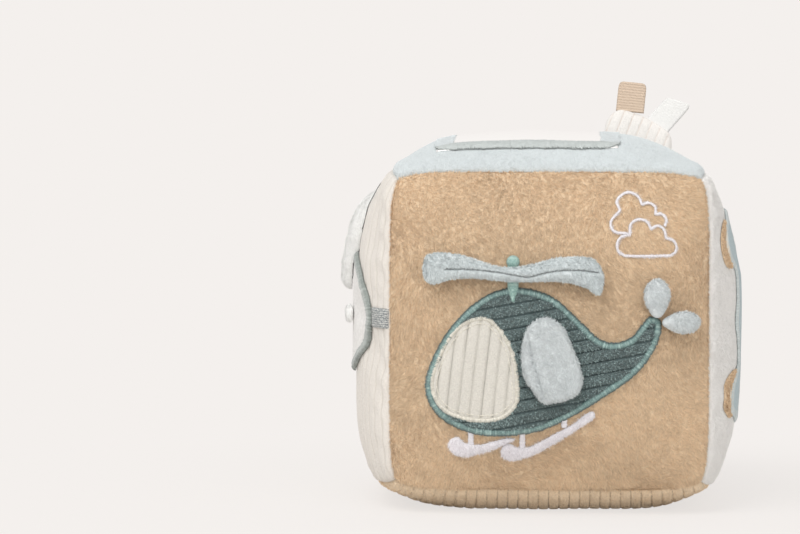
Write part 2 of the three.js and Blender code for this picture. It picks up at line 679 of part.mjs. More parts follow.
// Skids: each a stitched bar whose struts reach up to the body's border
function makeSkids(body) {
  const floor = FUSELAGE_Z - FUSELAGE_HEIGHT / 2;
  const bodyCut = prism('front', moved(body, GAP));
  const skids = [
    ['skid_left', LEFT_SKID_SHARES, LEFT_SKID_WIDTH, LEFT_SKID_HEIGHT, LEFT_SKID_X, floor - SKID_DROP,
      LEFT_STRUT_SHARES],
    ['skid_right', RIGHT_SKID_SHARES, RIGHT_SKID_WIDTH, RIGHT_SKID_HEIGHT, RIGHT_SKID_X, floor,
      RIGHT_STRUT_SHARES],
  ];
  for (const [name, shares, width, height, x, z, struts] of skids) {
    let bar = patch('front', outline(shares, width, height, x, z), GAP, STITCH_TOP);
    for (const share of struts) {
      const strut = rectangle(STRUT_WIDTH, height, x + share * width, z + height / 2 + share * height);
      bar = bar.add(patch('front', strut, GAP, STITCH_TOP));
    }
    addPart(name, bar.subtract(bodyCut), 'whiteSatin');
  }
}

function makeClouds() {
  const upper = outline(UPPER_CLOUD_SHARES, CLOUD_WIDTH, UPPER_CLOUD_HEIGHT, UPPER_CLOUD_X, UPPER_CLOUD_Z);
  const lowerZ = UPPER_CLOUD_Z - (UPPER_CLOUD_HEIGHT + LOWER_CLOUD_HEIGHT) / 2 - CLOUD_SPACE;
  const lower = outline(LOWER_CLOUD_SHARES, CLOUD_WIDTH, LOWER_CLOUD_HEIGHT, LOWER_CLOUD_X, lowerZ);
  addPart('cloud_upper', ring('front', upper, CLOUD_LINE, GAP, STITCH_TOP), 'whiteSatin');
  addPart('cloud_lower', ring('front', lower, CLOUD_LINE, GAP, STITCH_TOP), 'whiteSatin');
}

function makePlane() {
  const centre = PLANE_NOSE - PLANE_LENGTH / 2;
  const body = outline(PLANE_SHARES, PLANE_LENGTH, PLANE_HEIGHT, centre, PLANE_Z);
  addPart('plane_body', patch('left', moved(body, -PLANE_BORDER - GAP), GAP, PATCH_TOP), 'whitePlush');
  addPart('plane_border', ring('left', body, PLANE_BORDER, GAP, STITCH_TOP), 'mintSatin');
  const knob = ellipse(KNOB_RADIUS, KNOB_RADIUS, PLANE_NOSE - KNOB_FROM_NOSE, PLANE_Z);
  addPart('plane_knob', pillow('left', knob, PATCH_TOP + GAP, KNOB_RISE), 'whitePlush');
  const wing = outline(LOBE_SHARES, WING_LENGTH, WING_WIDTH);
  const placedWing = turned(wing, 90, PLANE_NOSE - WING_FROM_NOSE, WING_ROOT_Z);
  addPart('plane_wing', pillow('left', placedWing, PAD_BASE, WING_THICKNESS), 'whitePlush');
  const ribbonLength = SEAM_REACH - GAP - centre;
  const ribbonMiddle = SEAM_REACH - GAP - ribbonLength / 2;
  const ribbon = rectangle(ribbonLength, PLANE_RIBBON_WIDTH, ribbonMiddle, PLANE_Z);
  const strip = patch('left', ribbon, GAP, GAP + PLANE_RIBBON_CLOTH);
  addPart('plane_ribbon', strip.subtract(prism('left', moved(body, GAP))), 'greyRibbon');
  const path = THREAD_REACH_SHARES.map((shares) => new THREE.Vector2(...shares).multiplyScalar(SEAM_REACH));
  const thread = patch('left', band(path, THREAD_WIDTH, ARC_STEPS), GAP, GAP + THREAD_RISE);
  addPart('thread_line', thread, 'darkThread');
}

// The car's own axes, x along its length and y up from its sill, laid on their side on the panel
function onCar(points) {
  return points.map((point) => new THREE.Vector2(CAR_SILL + point.y, CAR_MIDDLE - point.x));
}

function makeCar() {
  const body = onCar(outline(CAR_SHARES, CAR_LENGTH, CAR_HEIGHT));
  addPart('car_border', ring('right', body, CAR_BORDER, GAP, STITCH_TOP), 'blueCloth');
  const glassWidth = CAR_LENGTH * CAR_WINDOW_WIDTH_SHARE;
  const glassHeight = CAR_HEIGHT * CAR_WINDOW_HEIGHT_SHARE;
  const glassRise = CAR_HEIGHT * CAR_WINDOW_RISE_SHARE;
  const glass = onCar(outline(CAR_WINDOW_SHARES, glassWidth, glassHeight, 0, glassRise));
  const cloth = patch('right', moved(body, -CAR_BORDER - GAP), GAP, PATCH_TOP);
  addPart('car_body', cloth.subtract(prism('right', moved(glass, GAP))), 'blueCloth');
  addPart('car_window', patch('right', glass, GAP, PATCH_TOP), 'whitePlush');
  const axle = CAR_LENGTH * WHEEL_SPACING_SHARE / 2;
  for (const [name, side] of [['car_wheel_upper', -1], ['car_wheel_lower', 1]]) {
    const wheel = onCar(ellipse(WHEEL_RADIUS, WHEEL_RADIUS, side * axle, -WHEEL_DROP));
    addPart(name, pillow('right', wheel, PAD_BASE, WHEEL_THICKNESS), 'tanPlush');
  }
}

// One padded side of the mirror frame, mitred at both ends and draped over the top panel
function frameSide(way) {
  const half = MIRROR_SIDE / 2 - GAP;
  const halfWidth = FRAME_WIDTH / 2;
  const base = GAP + MIRROR_SHEET + GAP;
  const vertices = [];
  const triangles = [];
  const section = [...FRAME_SECTION_SHARES, [0, 0]];
  const count = section.length;
  for (let k = 0; k <= FRAME_STEPS; k += 1) {
    for (const [across, rise] of section) {
      const out = half - halfWidth + across * halfWidth;
      const along = (2 * k / FRAME_STEPS - 1) * (out - GAP);
      const place = new THREE.Vector2(along, -out).rotateAround(new THREE.Vector2(), way * Math.PI / 2);
      vertices.push(drapedPoint('top', place.x + MIRROR_X, place.y + MIRROR_Y, base + rise * FRAME_RISE));
    }
  }
  for (let k = 0; k < FRAME_STEPS; k += 1) {
    for (let i = 0; i < count; i += 1) {
      const a = k * count + i;
      const b = k * count + (i + 1) % count;
      triangles.push([a, b, b + count], [a, b + count, a + count]);
    }
  }
  const last = FRAME_STEPS * count;
  const foot = count - 1;
  for (let i = 0; i < foot - 1; i += 1) {
    triangles.push([foot, i + 1, i], [last + foot, last + i, last + i + 1]);
  }
  return geometryFrom(vertices, triangles);
}

function makeMirror() {
  const sheet = rectangle(MIRROR_SIDE, MIRROR_SIDE, MIRROR_X, MIRROR_Y);
  addPart('mirror_sheet', patch('top', sheet, GAP, GAP + MIRROR_SHEET), 'mirrorFoil');
  ['front', 'right', 'back', 'left'].forEach((side, k) => {
    addPart(`mirror_frame_${side}`, frameSide(k), 'paleBluePlush');
  });
}

// A padded piece that swells to both sides of its own flat plane
function pad(points, thickness) {
  const loop = outwards(points);
  const count = loop.length;
  const middle = loop.reduce((sum, point) => sum.add(point), new THREE.Vector2()).divideScalar(count);
  const vertices = loop.map((point) => new THREE.Vector3(point.x, point.y, 0));
  const triangles = [];
  for (const side of [1, -1]) {
    let before = loop.map((point, k) => k);
    const close = (a, b, c) => triangles.push(side > 0 ? [a, b, c] : [a, c, b]);
    for (const [scale, rise] of PAD_RING_SHARES) {
      const here = loop.map((point) => {
        const place = middle.clone().lerp(point, scale);
        return vertices.push(new THREE.Vector3(place.x, place.y, side * rise * thickness / 2)) - 1;
      });
      for (let k = 0; k < count; k += 1) {
        const next = (k + 1) % count;
        close(before[k], before[next], here[next]);
        close(before[k], here[next], here[k]);
      }
      before = here;
    }
    const peak = vertices.push(new THREE.Vector3(middle.x, middle.y, side * thickness / 2)) - 1;
    for (let k = 0; k < count; k += 1) {
      close(before[k], before[(k + 1) % count], peak);
    }
  }
  return geometryFrom(vertices, triangles);
}

// A flat folded tag with a round top edge, standing on its root line
function tag(width, length) {
  const fold = TAG_THICKNESS / 2;
  const profile = new THREE.Shape();
  profile.moveTo(-fold, TAG_ROOT_GAP);
  profile.lineTo(fold, TAG_ROOT_GAP);
  profile.lineTo(fold, length - fold);
  profile.absarc(0, length - fold, fold, 0, Math.PI, false);
  const settings = { depth: width, bevelEnabled: false, curveSegments: ARC_STEPS };
  const geometry = new THREE.ExtrudeGeometry(profile, settings);
  geometry.translate(0, 0, -width / 2);
  geometry.rotateY(radians(90));
  return solidOf(geometry);
}

// The tab stands in the seam between top and back; its tags ride on its edge
function makeTab() {
  const seat = new THREE.Group();
  const seatReach = seamReach((TAB_X - TAB_WIDTH / 2) / SEAM_REACH, 0) + TAB_SEAT * Math.SQRT1_2;
  seat.position.set(TAB_X, seatReach, CENTRE_Z + seatReach);
  seat.rotation.x = radians(90 - TAB_LEAN_DEG);
  cube.add(seat);
  const swollen = pad(outline(TAB_SHARES, TAB_WIDTH, TAB_HEIGHT), TAB_THICKNESS);
  addPart('corduroy_tab', swollen, 'creamCorduroy', seat);
  const tags = [
    ['ribbon_tag', RIBBON_WIDTH, RIBBON_LENGTH, RIBBON_ROOT_SHARES, RIBBON_TURN_DEG, 'tanRibbon'],
    ['satin_label', LABEL_WIDTH, LABEL_LENGTH, LABEL_ROOT_SHARES, LABEL_TURN_DEG, 'whiteSatin'],
  ];
  for (const [name, width, length, rootShares, turn, colour] of tags) {
    const mesh = addPart(name, tag(width, length), colour, seat);
    mesh.position.set(rootShares[0] * TAB_WIDTH, rootShares[1] * TAB_HEIGHT, 0);
    mesh.rotation.z = radians(turn);
  }
}

makePanels();
makeFilling();
makeRattle();
const fuselageOutline = makeFuselage();
makeDoorFlap();
makeRotor(fuselageOutline);
makeTailRotor();
makeSkids(fuselageOutline);
makeClouds();
makePlane();
makeCar();
makeMirror();
makeTab();

export default cube;
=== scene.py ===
"""The looks of a soft play cube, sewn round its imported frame.

Sizes are millimetres in the row frame: +Z up, the front towards -Y, the origin on the resting
face under the cube's centre. Shares are parts of a named size.
"""

import json
import math

import bpy
import numpy as np
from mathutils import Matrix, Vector
from mathutils.geometry import delaunay_2d_cdt

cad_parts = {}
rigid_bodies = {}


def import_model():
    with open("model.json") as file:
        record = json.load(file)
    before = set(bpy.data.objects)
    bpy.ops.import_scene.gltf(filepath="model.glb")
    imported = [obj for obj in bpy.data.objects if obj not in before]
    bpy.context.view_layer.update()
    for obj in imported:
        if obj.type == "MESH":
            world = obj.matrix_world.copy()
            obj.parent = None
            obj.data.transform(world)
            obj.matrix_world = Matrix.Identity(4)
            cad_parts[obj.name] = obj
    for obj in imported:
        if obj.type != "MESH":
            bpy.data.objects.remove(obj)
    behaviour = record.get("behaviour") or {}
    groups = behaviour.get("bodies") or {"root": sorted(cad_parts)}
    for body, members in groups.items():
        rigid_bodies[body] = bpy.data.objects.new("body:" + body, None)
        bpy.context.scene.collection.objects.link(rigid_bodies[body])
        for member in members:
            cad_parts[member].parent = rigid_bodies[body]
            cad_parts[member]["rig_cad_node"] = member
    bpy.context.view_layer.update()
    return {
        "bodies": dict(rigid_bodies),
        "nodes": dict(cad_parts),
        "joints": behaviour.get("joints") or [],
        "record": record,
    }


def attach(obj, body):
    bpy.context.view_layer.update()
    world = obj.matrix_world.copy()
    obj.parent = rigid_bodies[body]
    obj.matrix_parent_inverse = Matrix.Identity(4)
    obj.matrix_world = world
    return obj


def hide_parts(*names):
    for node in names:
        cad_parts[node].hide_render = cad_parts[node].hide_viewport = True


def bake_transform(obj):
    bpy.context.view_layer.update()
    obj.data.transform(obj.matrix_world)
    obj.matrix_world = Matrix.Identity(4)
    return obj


MM = 0.001

# Cube form, as the frame has it
SEAM_REACH = 68.8
CROWN_BULGE = 15.7
REST_BULGE = 9.7
RIGHT_TRIM = 1.3
CORNER_PULL = 3.4
CROWN_POWER = 3.3
CORNER_POWER = 8
CENTRE_Z = SEAM_REACH + REST_BULGE
SURFACE_PASSES = 12

# Cloth simulation: the seams are held, and each panel has a little more cloth than its plain form
SWELL_CELLS = 32
SWELL_FRAMES = 20
SWELL_PRESSURE = 4
SWELL_EXCESS = 0.02
SWELL_STIFFNESS = 15
SWELL_BENDING = 0.1
SWELL_START = 0.05
SWELL_CAP = 1.3
SWELL_ROOM = 1.1
SWELL_HOLD = 2

# How the stuffed cloth departs from that form
SAG_LEFT = 9
SAG_RIGHT = 3
SAG_TOP = 3.2
SAG_TOP_START = -14
SHOULDER_FALL = 2.6
SHOULDER_START = -60
SHOULDER_POWER = 0.7
RIGHT_LEAN = 2.6
RIGHT_LEAN_TOP = 52
RIGHT_LEAN_REACH = 30
LUMP_HEIGHT = 0.3
LUMP_LENGTH = 46
LUMP_FADE_POWER = 6
SEAM_DIP = 1.3
SEAM_DIP_WIDTH = 1.1
PUCKER_HEIGHT = 0.35
PUCKER_LENGTH = 9.5
PUCKER_REACH = 3.2
SEAM_ALLOWANCE = 4
WAVE_COUNT = 7
WAVE_SPREAD = (0.7, 1.5)

# Corduroy: distance between grooves, their depth, and how flat the ridges are
LEFT_WALE = 5
BOTTOM_WALE = 4.4
SIDE_WALE_DEPTH = 0.42
BOTTOM_WALE_DEPTH = 0.6
BOTTOM_BARE = 1
SIDE_WALE_POWER = 5
BODY_WALE = 5.1
BODY_WALE_DEPTH = 0.95
BODY_WALE_POWER = 5
RIDGE_SHARE = 0.45
WALE_WANDER = 0.13
WALE_WANDER_LENGTH = 30

# Levels over the cloth of a panel
CLOTH_TOP = 1.9
CLOTH_SOFT = 0.9
CLOTH_SPACE = 0.2
BORDER_BASE = 0.3
BORDER_HEIGHT = 2
PAD_BASE = 2.6

# Form of a stuffed shape
PAD_EDGE_SHARE = 0.36
CROWN_RISE_SHARE = 0.14
UNEVEN_HEIGHT = 0.12
UNEVEN_LENGTH = 7
OUTER_SLOPE = -0.35

# Form of a stitched bead and of its threads
SECTION_POWER = 0.8
STITCH_SPREAD = 0.09
STITCH_LIFT = 0.08
STITCH_LIFT_SPREAD = 0.05
VALLEY_WIDTH = 0.3
THREAD_SHADES = 512

# Grid steps
PANEL_STEPS = 170
WALE_STEPS = 380
ALONG_STEPS = 90
LOOP_STEP = 0.8
CLOTH_STEP = 0.46
CLOTH_STEP_ALONG = 1
CUSHION_STEP = 0.8
STITCH_STEP = 0.34
SECTION_STEPS = 9
CUT_DISTANCES = (0.12, 0.4, 0.9, 1.6)
FIELD_STEP = 1
CLEAR_SHARE = 0.97
CHUNK = 2000
TINY = 0.001

# Helicopter body
FUSELAGE_WIDTH = 99.5
FUSELAGE_HEIGHT = 63.4
FUSELAGE_X = -2.8
FUSELAGE_Z = -12
FUSELAGE_BORDER = 3.4
FUSELAGE_WALE_TURN = 10.5
FUSELAGE_SHARES = [
    (-0.11, 0.5), (0.04, 0.44), (0.175, 0.255), (0.24, 0.16), (0.3, 0.133), (0.373, 0.167),
    (0.453, 0.303), (0.5, 0.283), (0.5, 0.173), (0.466, 0.053), (0.39, -0.09), (0.262, -0.233),
    (0.139, -0.353), (-0.012, -0.467), (-0.162, -0.5), (-0.286, -0.487), (-0.398, -0.42),
    (-0.472, -0.313), (-0.5, -0.16), (-0.472, 0), (-0.398, 0.213), (-0.298, 0.38), (-0.211, 0.467),
]

# Cockpit window
WINDOW_WIDTH = 38.7
WINDOW_HEIGHT = 45.6
WINDOW_X = -31.4
WINDOW_Z = -15
WINDOW_BORDER = 2.4
WINDOW_WALE = 4.9
WINDOW_WALE_TURN = 83.5
WINDOW_STITCH_INSET = 3.4
WINDOW_STITCH = 0.55
WINDOW_STITCH_RISE = 0.5
WINDOW_STITCH_STEPS = 6
DASH_SHARE = 0.7
WINDOW_SHARES = [
    (0.046, 0.5), (-0.205, 0.398), (-0.413, 0.13), (-0.5, -0.176), (-0.369, -0.394),
    (-0.063, -0.495), (0.287, -0.481), (0.479, -0.333), (0.5, -0.157), (0.418, 0.218), (0.189, 0.472),
]

# Door flap
FLAP_WIDTH = 23.8
FLAP_HEIGHT = 35.8
FLAP_X = 0.5
FLAP_Z = -10.8
FLAP_THICKNESS = 4.6
FLAP_TILT_DEG = 10
FLAP_FOLD_SHARE = -0.33
FLAP_FOLD_DEPTH = 0.9
FLAP_FOLD_SHARES = [(FLAP_FOLD_SHARE, 0.4), (FLAP_FOLD_SHARE * 0.9, 0), (FLAP_FOLD_SHARE * 0.7, -0.42)]
FLAP_SHARES = [
    (0.05, 0.5), (0.305, 0.369), (0.411, 0.127), (0.5, -0.171), (0.487, -0.331), (0.328, -0.458),
    (-0.069, -0.5), (-0.254, -0.478), (-0.385, -0.325), (-0.5, -0.119), (-0.462, 0.17),
    (-0.349, 0.36), (-0.223, 0.458),
]

# Rotor strip
BLADE_LENGTH = 34.2
BLADE_HEIGHT = 12.7
BLADE_THICKNESS = 5.6
ROTOR_X = -15.2
ROTOR_Z = 25
ROTOR_CENTRE_WIDTH = 7.4
ROTOR_BEND = 7
ROTOR_CUT_STEPS = 9
CREASE_DEPTH = 1.2
CREASE_WIDTH = 0.55
CREASE_BARE = 0.1
LEFT_BLADE_SHARES = [
    (0, 0.25), (-0.13, 0.3), (-0.33, 0.48), (-0.58, 0.67), (-0.79, 0.7), (-0.955, 0.62), (-1, 0.17),
    (-0.967, -0.2), (-0.9, -0.3), (-0.72, -0.18), (-0.5, -0.08), (-0.23, -0.12), (0, -0.2), (0, 0.02),
]
RIGHT_BLADE_SHARES = [
    (0, -0.2), (0.35, -0.18), (0.6, -0.23), (0.81, -0.42), (0.945, -0.63), (1, -0.28), (0.98, 0.17),
    (0.88, 0.53), (0.765, 0.59), (0.475, 0.57), (0.23, 0.42), (0, 0.25), (0, 0.02),
]
CREASE_SHARES = [
    (-0.75, 0.2), (-0.49, 0.2), (-0.19, 0.11), (0.02, 0.01), (0.17, -0.04), (0.35, 0.09), (0.53, 0.17),
    (0.78, 0.17), (0.94, 0.11),
]

# Mast
MAST_WIDTH = 4.7
MAST_TIP_WIDTH = 1.2
MAST_FOOT = 12
MAST_LIFT = 1.1
MAST_KNOB_RISE = 8.2
MAST_KNOB_WIDTH = 5.6

# Tail rotor
LOBE_LENGTH = 16.2
LOBE_WIDTHS = (10.8, 8.9)
LOBE_THICKNESS = 5
LOBE_ROOT_X = 45.6
LOBE_ROOT_Z = 5
LOBE_ROOT_OFFSET = 2.2
LOBE_SHORT = 6
LOBE_BARE = 0.4
LOBE_ANGLES_DEG = (91, -1)
LOBE_SHARES = [
    (0, 0.12), (0.25, 0.36), (0.55, 0.5), (0.85, 0.38), (1, 0),
    (0.85, -0.38), (0.55, -0.5), (0.25, -0.36), (0, -0.12),
]

# Skids
LEFT_SKID_WIDTH = 28.5
LEFT_SKID_HEIGHT = 8.5
LEFT_SKID_X = -28.4
SKID_DROP = 4.8
LEFT_SKID_SHARES = [
    (-0.5, 0.125), (-0.44, 0.425), (-0.352, 0.5), (-0.263, 0.225), (-0.04, 0.125), (0.167, 0.3),
    (0.389, 0.475), (0.5, 0.425), (0.322, 0.125), (0.122, -0.175), (-0.085, -0.375),
    (-0.263, -0.5), (-0.426, -0.325),
]
RIGHT_SKID_WIDTH = 39.3
RIGHT_SKID_HEIGHT = 21.4
RIGHT_SKID_X = -0.6
RIGHT_SKID_SHARES = [
    (-0.5, -0.31), (-0.473, -0.19), (-0.403, -0.152), (-0.328, -0.23), (-0.21, -0.23), (-0.09, -0.13),
    (0.09, 0.065), (0.28, 0.263), (0.435, 0.488), (0.5, 0.5), (0.5, 0.4), (0.34, 0.184),
    (0.134, -0.073), (-0.054, -0.29), (-0.21, -0.42), (-0.371, -0.5), (-0.473, -0.449),
]
SKID_RISE = 1.5
SKID_ROUND = 1.7
STRUT_WIDTH = 2.6
STRUT_POINTS = 6
LEFT_STRUT_SHARES = (-0.16,)
RIGHT_STRUT_SHARES = (-0.27, 0.18)

# Clouds: each bump is a curve of its own, and the upper cloud ends behind the lower one
CLOUD_LINE = 1.1
CLOUD_RISE = 0.8
UPPER_CLOUD = (24.5, 17.2, 37.6, 50.9)
LOWER_CLOUD = (25, 15.3, 41.1, 40.6)
UPPER_CLOUD_BUMPS = [
    [(-0.19, -0.5), (-0.43, -0.44), (-0.48, -0.23), (-0.32, 0.06)],
    [(-0.32, 0.06), (-0.37, 0.3), (-0.19, 0.5), (-0.01, 0.4), (0.06, 0.2)],
    [(0.06, 0.2), (0.18, 0.24), (0.29, 0.13), (0.29, -0.04)],
    [(0.29, -0.04), (0.4, -0.03), (0.48, -0.17), (0.44, -0.37)],
]
LOWER_CLOUD_BUMPS = [
    [(0.39, -0.5), (0.48, -0.41), (0.5, -0.24), (0.44, -0.08), (0.32, -0.02)],
    [(0.32, -0.02), (0.29, 0.21), (0.18, 0.32), (0.07, 0.23)],
    [(0.07, 0.23), (0, 0.43), (-0.14, 0.5), (-0.27, 0.37), (-0.29, 0.08)],
    [(-0.29, 0.08), (-0.44, 0.01), (-0.5, -0.15), (-0.48, -0.38), (-0.37, -0.5)],
    [(-0.37, -0.5), (0, -0.51), (0.39, -0.5)],
]

# Aeroplane on the left panel
PLANE_LENGTH = 96
PLANE_HEIGHT = 52
PLANE_NOSE = 56
PLANE_Z = 5
PLANE_BORDER = 4
PLANE_VALLEY = 0.2
PLANE_SHARES = [
    (0.5, 0), (0.48, 0.14), (0.425, 0.3), (0.33, 0.44), (0.12, 0.5), (-0.12, 0.4), (-0.36, 0.22),
    (-0.5, 0.06), (-0.48, -0.1), (-0.34, -0.26), (-0.12, -0.43), (0.1, -0.5), (0.24, -0.45),
    (0.36, -0.36), (0.458, -0.22),
]
KNOB_RADIUS = 4
KNOB_RISE = 3.4
KNOB_FROM_NOSE = 26
WING_LENGTH = 43
WING_ANGLE_DEG = 90
WING_WIDTH = 27
WING_SOFT = 6.4
WING_ROOT_Z = 15
WING_FROM_NOSE = 50
WING_TIP_BASE = 0.1
WING_DROP = (11, 18)
WING_EDGE_SHARE = 0.03
WING_TOP = 8.4
WING_ROOT_SWELL = 1
WING_TIP_SWELL = 0.72
PLANE_RIBBON_WIDTH = 8.6
PLANE_RIBBON_CLOTH = 1
THREAD_WIDTH = 0.5
THREAD_RISE = 0.4
THREAD_SHARES = [(0.21, 0.9), (0.3, 0.78), (0.345, 0.66), (0.355, 0.6)]

# Car on the right panel
CAR_LENGTH = 94
CAR_HEIGHT = 46
CAR_SILL = -42
CAR_MIDDLE = 4.5
CAR_TURN = 2.6
CAR_BORDER = 3.4
CAR_RISE = 1
CAR_SHARES = [
    (-0.46, 0), (-0.5, 0.2), (-0.47, 0.46), (-0.34, 0.56), (-0.24, 0.88), (-0.06, 1), (0.14, 0.94),
    (0.28, 0.6), (0.45, 0.5), (0.5, 0.24), (0.46, 0), (0.2, 0), (-0.2, 0),
]
WHEEL_RADIUS = 10.4
WHEEL_SPACING_SHARE = 0.69
WHEEL_DROP = 7
WHEEL_THICKNESS = 0.6
WHEEL_BASE = 0.2
FENDER_RADIUS = 11.5
FENDER_DROP = 9.5
FENDER_FADE = 2
HUB_RADIUS = 5.4
HUB_RISE = 0.35
CAR_WINDOW_WIDTH_SHARE = 0.255
CAR_WINDOW_HEIGHT_SHARE = 0.28
CAR_WINDOW_RISE_SHARE = 0.63
CAR_WINDOW_SHARES = [
    (-0.5, -0.5), (-0.42, 0.2), (-0.2, 0.5), (0.2, 0.5), (0.42, 0.2), (0.5, -0.5), (0, -0.5),
]

# Filling
FILL_OUTSIDE = 50
FILL_SHARE = 0.98

# Mirror and its padded frame on the top panel
MIRROR_SIDE = 78
MIRROR_X = -9.5
MIRROR_Y = -16.5
MIRROR_SWELL = 0.5
MIRROR_CORNER_SWELL = 1.4
MIRROR_CALM = 12
MIRROR_BASE = 0.1
MIRROR_SHEET = 0.4
MIRROR_STEPS = 60
FRAME_WIDTH = 8
FRAME_RISE = 2.1
FRAME_OVERHANG = 0.8
FRAME_CORNER = 9
FRAME_BASE = 0.55
FRAME_FALL = 8
FRAME_RISE_SHARES = (1, 0.1, 0.05)

# Tab and tags
TAB_WIDTH = 31
TAB_HEIGHT = 24
TAB_THICKNESS = 6.4
TAB_PLACE = (41, 69.436, 147.936)
TAB_LEAN_DEG = 15
TAB_WALE = 4.6
TAB_WALE_DEPTH = 0.5
TAB_WALE_TURN = 70
TAB_SHARES = [
    (-0.42, 0), (-0.5, 0.42), (-0.45, 0.82), (-0.28, 1), (0, 0.91), (0.3, 0.71), (0.47, 0.52),
    (0.5, 0.26), (0.42, 0), (0, 0),
]
TAG_THICKNESS = 1.6
TAG_CLOTH = 0.4
TAG_STEP = 0.18
TAG_COLUMNS = 12
TAG_WAVE = 0.12
TAG_WAVE_TURN = 5
TAG_WAVE_START = 1
TAG_ROUND = 0.3
TAG_ROUND_POWER = 16
RIBBON_WIDTH = 13
RIBBON_LENGTH = 14
RIBBON_ROOT_SHARES = (-0.12, 0.965)
RIBBON_TURN_DEG = -6
RIBBON_RIB = 1.28
RIBBON_RIB_DEPTH = 0.14
RIBBON_CURL = 0.4
LABEL_WIDTH = 11.4
LABEL_LENGTH = 17
LABEL_ROOT_SHARES = (0.26, 0.64)
LABEL_TURN_DEG = -41
LABEL_RIB_DEPTH = 0.02
LABEL_CURL = 0.8
LABEL_SKEW = 0.42

# Pile: fibres over a square millimetre, and their form; the light grade sorts lighter strands to a panel's
# top and bottom as painted light, and the rim share sorts them to a pad's sloping rims as a painted highlight
PANEL_PILE = {
    "density": 15, "length": 1.6, "width": 0.17, "lean": 62, "stray": 0.42, "swirl": 0.7, "clump": 0.14,
    "painted_light_grade": 1.6, "rim": 0, "tuft": 4, "twist": 30}
SMOOTH_PILE = {
    "density": 12, "length": 0.9, "width": 0.24, "lean": 74, "stray": 0.3, "swirl": 0.15, "clump": 0.1,
    "painted_light_grade": 0, "rim": 0, "tuft": 1, "twist": 12}
PAD_PILE = {
    "density": 15, "length": 1.3, "width": 0.18, "lean": 60, "stray": 0.5, "swirl": 0.4, "clump": 0.15,
    "painted_light_grade": 0, "rim": 2, "tuft": 3, "twist": 25}
CORD_PILE = {
    "density": 16, "length": 0.9, "width": 0.22, "lean": 38, "stray": 1.2, "swirl": 0.6, "clump": 0.3,
    "painted_light_grade": 0, "rim": 0, "tuft": 4, "twist": 30}
RIDGE_PILE = {
    "density": 14, "length": 0.7, "width": 0.2, "lean": 66, "stray": 0.9, "swirl": 0.2, "clump": 0.1,
    "painted_light_grade": 0, "rim": 0, "tuft": 2, "twist": 20}
FUZZ_PILE = {
    "density": 12, "length": 1.3, "width": 0.14, "lean": 58, "stray": 0.9, "swirl": 0.3, "clump": 0.1,
    "painted_light_grade": 0, "rim": 0, "tuft": 1, "twist": 30}
FRONT_NAP = (0.5, 0, -0.9)
SIDE_NAP = (0, 0.5, -0.9)
TOP_NAP = (0.1, 1, 0)
RIM_NAP = (0, -1, -0.5)
BOTTOM_NAP = (0, 0.3, -1)
REACH_CLUMP = 0.15
REACH_SPREAD = 0.1
REACH_RANGE = (0.8, 1.1)
SHADE_SPREAD = 0.3
TUFT_RADIUS = 0.14
TUFT_TIP = 0.4
# Where the painted light starts, as a share of the height away from the cube's middle
LIGHT_GRADE_START = 0.35
PILE_LEAN_SPREAD = 9
SWIRL_LENGTH = 34
PATCH_LENGTH = 52
CLUMP_LENGTH = 4.5
CLUMP_SHADE = 0.35
PATCH = 0.5
BARE_REACH = 2.4
BARE_EDGE_SHARE = 0.7

# Where each random draw starts; a pile's further draws count on from its own
LUMP_SEED = 1
PUCKER_SEED = 2
WALE_SEED = 3
UNEVEN_SEED = 11
START_SEED = 1
STITCH_SEED = 5
THREAD_SEED = 9
CLUMP_SEED = 3
SHADE_SEED = 7
PATCH_SEED = 8
PILE_SEEDS = {
    "door_pad_pile": 21, "rotor_left_pile": 31, "rotor_right_pile": 41, "tail_upper_pile": 51,
    "tail_lower_pile": 61, "front_pile": 61, "plane_button_pile": 71, "plane_wing_pad_pile": 81,
    "wheel_upper_pile": 91, "wheel_lower_pile": 101, "right_pile": 111, "back_pile": 121,
    "mirror_rim_pile": 131, "mirror_sides_pile": 135, "top_pile": 141, "bottom_pile": 145,
    "fuselage_cloth_pile": 151, "skid_left_fuzz": 161, "skid_right_fuzz": 161, "cloud_upper_fuzz": 171,
    "cloud_lower_fuzz": 171,
}

# Looks of each kind of cloth: grains in features to a metre, reliefs in millimetres, shades in shares
PLAIN_DETAIL = 3
PLAIN_STOPS = (0.3, 0.7)
PLUSH = {
    "roughness": 0.95, "sheen": 0.15, "grain": 700, "dark": 0.85, "crease_shade_stops": (0.35, 0.75),
    "crease_shade_dark": 0.42, "relief_grain": 1500, "relief": 0.5}
FIBRE = {"roughness": 0.85, "sheen": 0.25}
CORDUROY = {
    "roughness": 0.92, "sheen": 0.2, "grain": 1500, "grain_stops": (0.36, 0.64), "cloud_grain": 60,
    "cloud_dark": 0.95, "cloud_share": 0.35, "groove_shade_stops": (0.25, 0.95), "detail": 4,
    "relief_grain": 1900, "relief": 0.5}
SATIN = {
    "sheen": 0.3, "streak": 0.4, "grain": 2300, "detail": 2, "strand_dark": 0.8,
    "strand_stops": (0.35, 0.5, 0.68), "thread_dark": 0.85, "thread_stops": (0.1, 0.55, 0.95),
    "edge_shade_stops": (0.6, 0.98), "relief_grain": 2600, "relief": 0.3}
WEAVE = {"wander": 0.6, "stops": (0.2, 0.75), "dark": 0.8, "light": 1.08}
HEATHER = {
    "roughness": 0.8, "sheen": 0.1, "yarns": 330, "wander": 9, "detail": 3, "detail_scale": 3,
    "stops": (0.35, 0.65), "relief": 0.15}
MIRROR = {
    "colour": (255, 255, 254), "roughness": 0.1, "metal": 0.8, "smear_grain": 90,
    "smear_stops": (0.4, 0.8), "smears": (0.05, 0.14), "relief_grain": 45, "relief": 0.25}
MOULDED = {"grain": 120, "dark": 0.95, "relief_grain": 2000, "relief": 0.04}
FILLING = {
    "colour": (245, 243, 238), "roughness": 1, "sheen": 0.2, "grain": 200, "detail": 6, "dark": 0.8,
    "relief_grain": 300, "relief": 3}

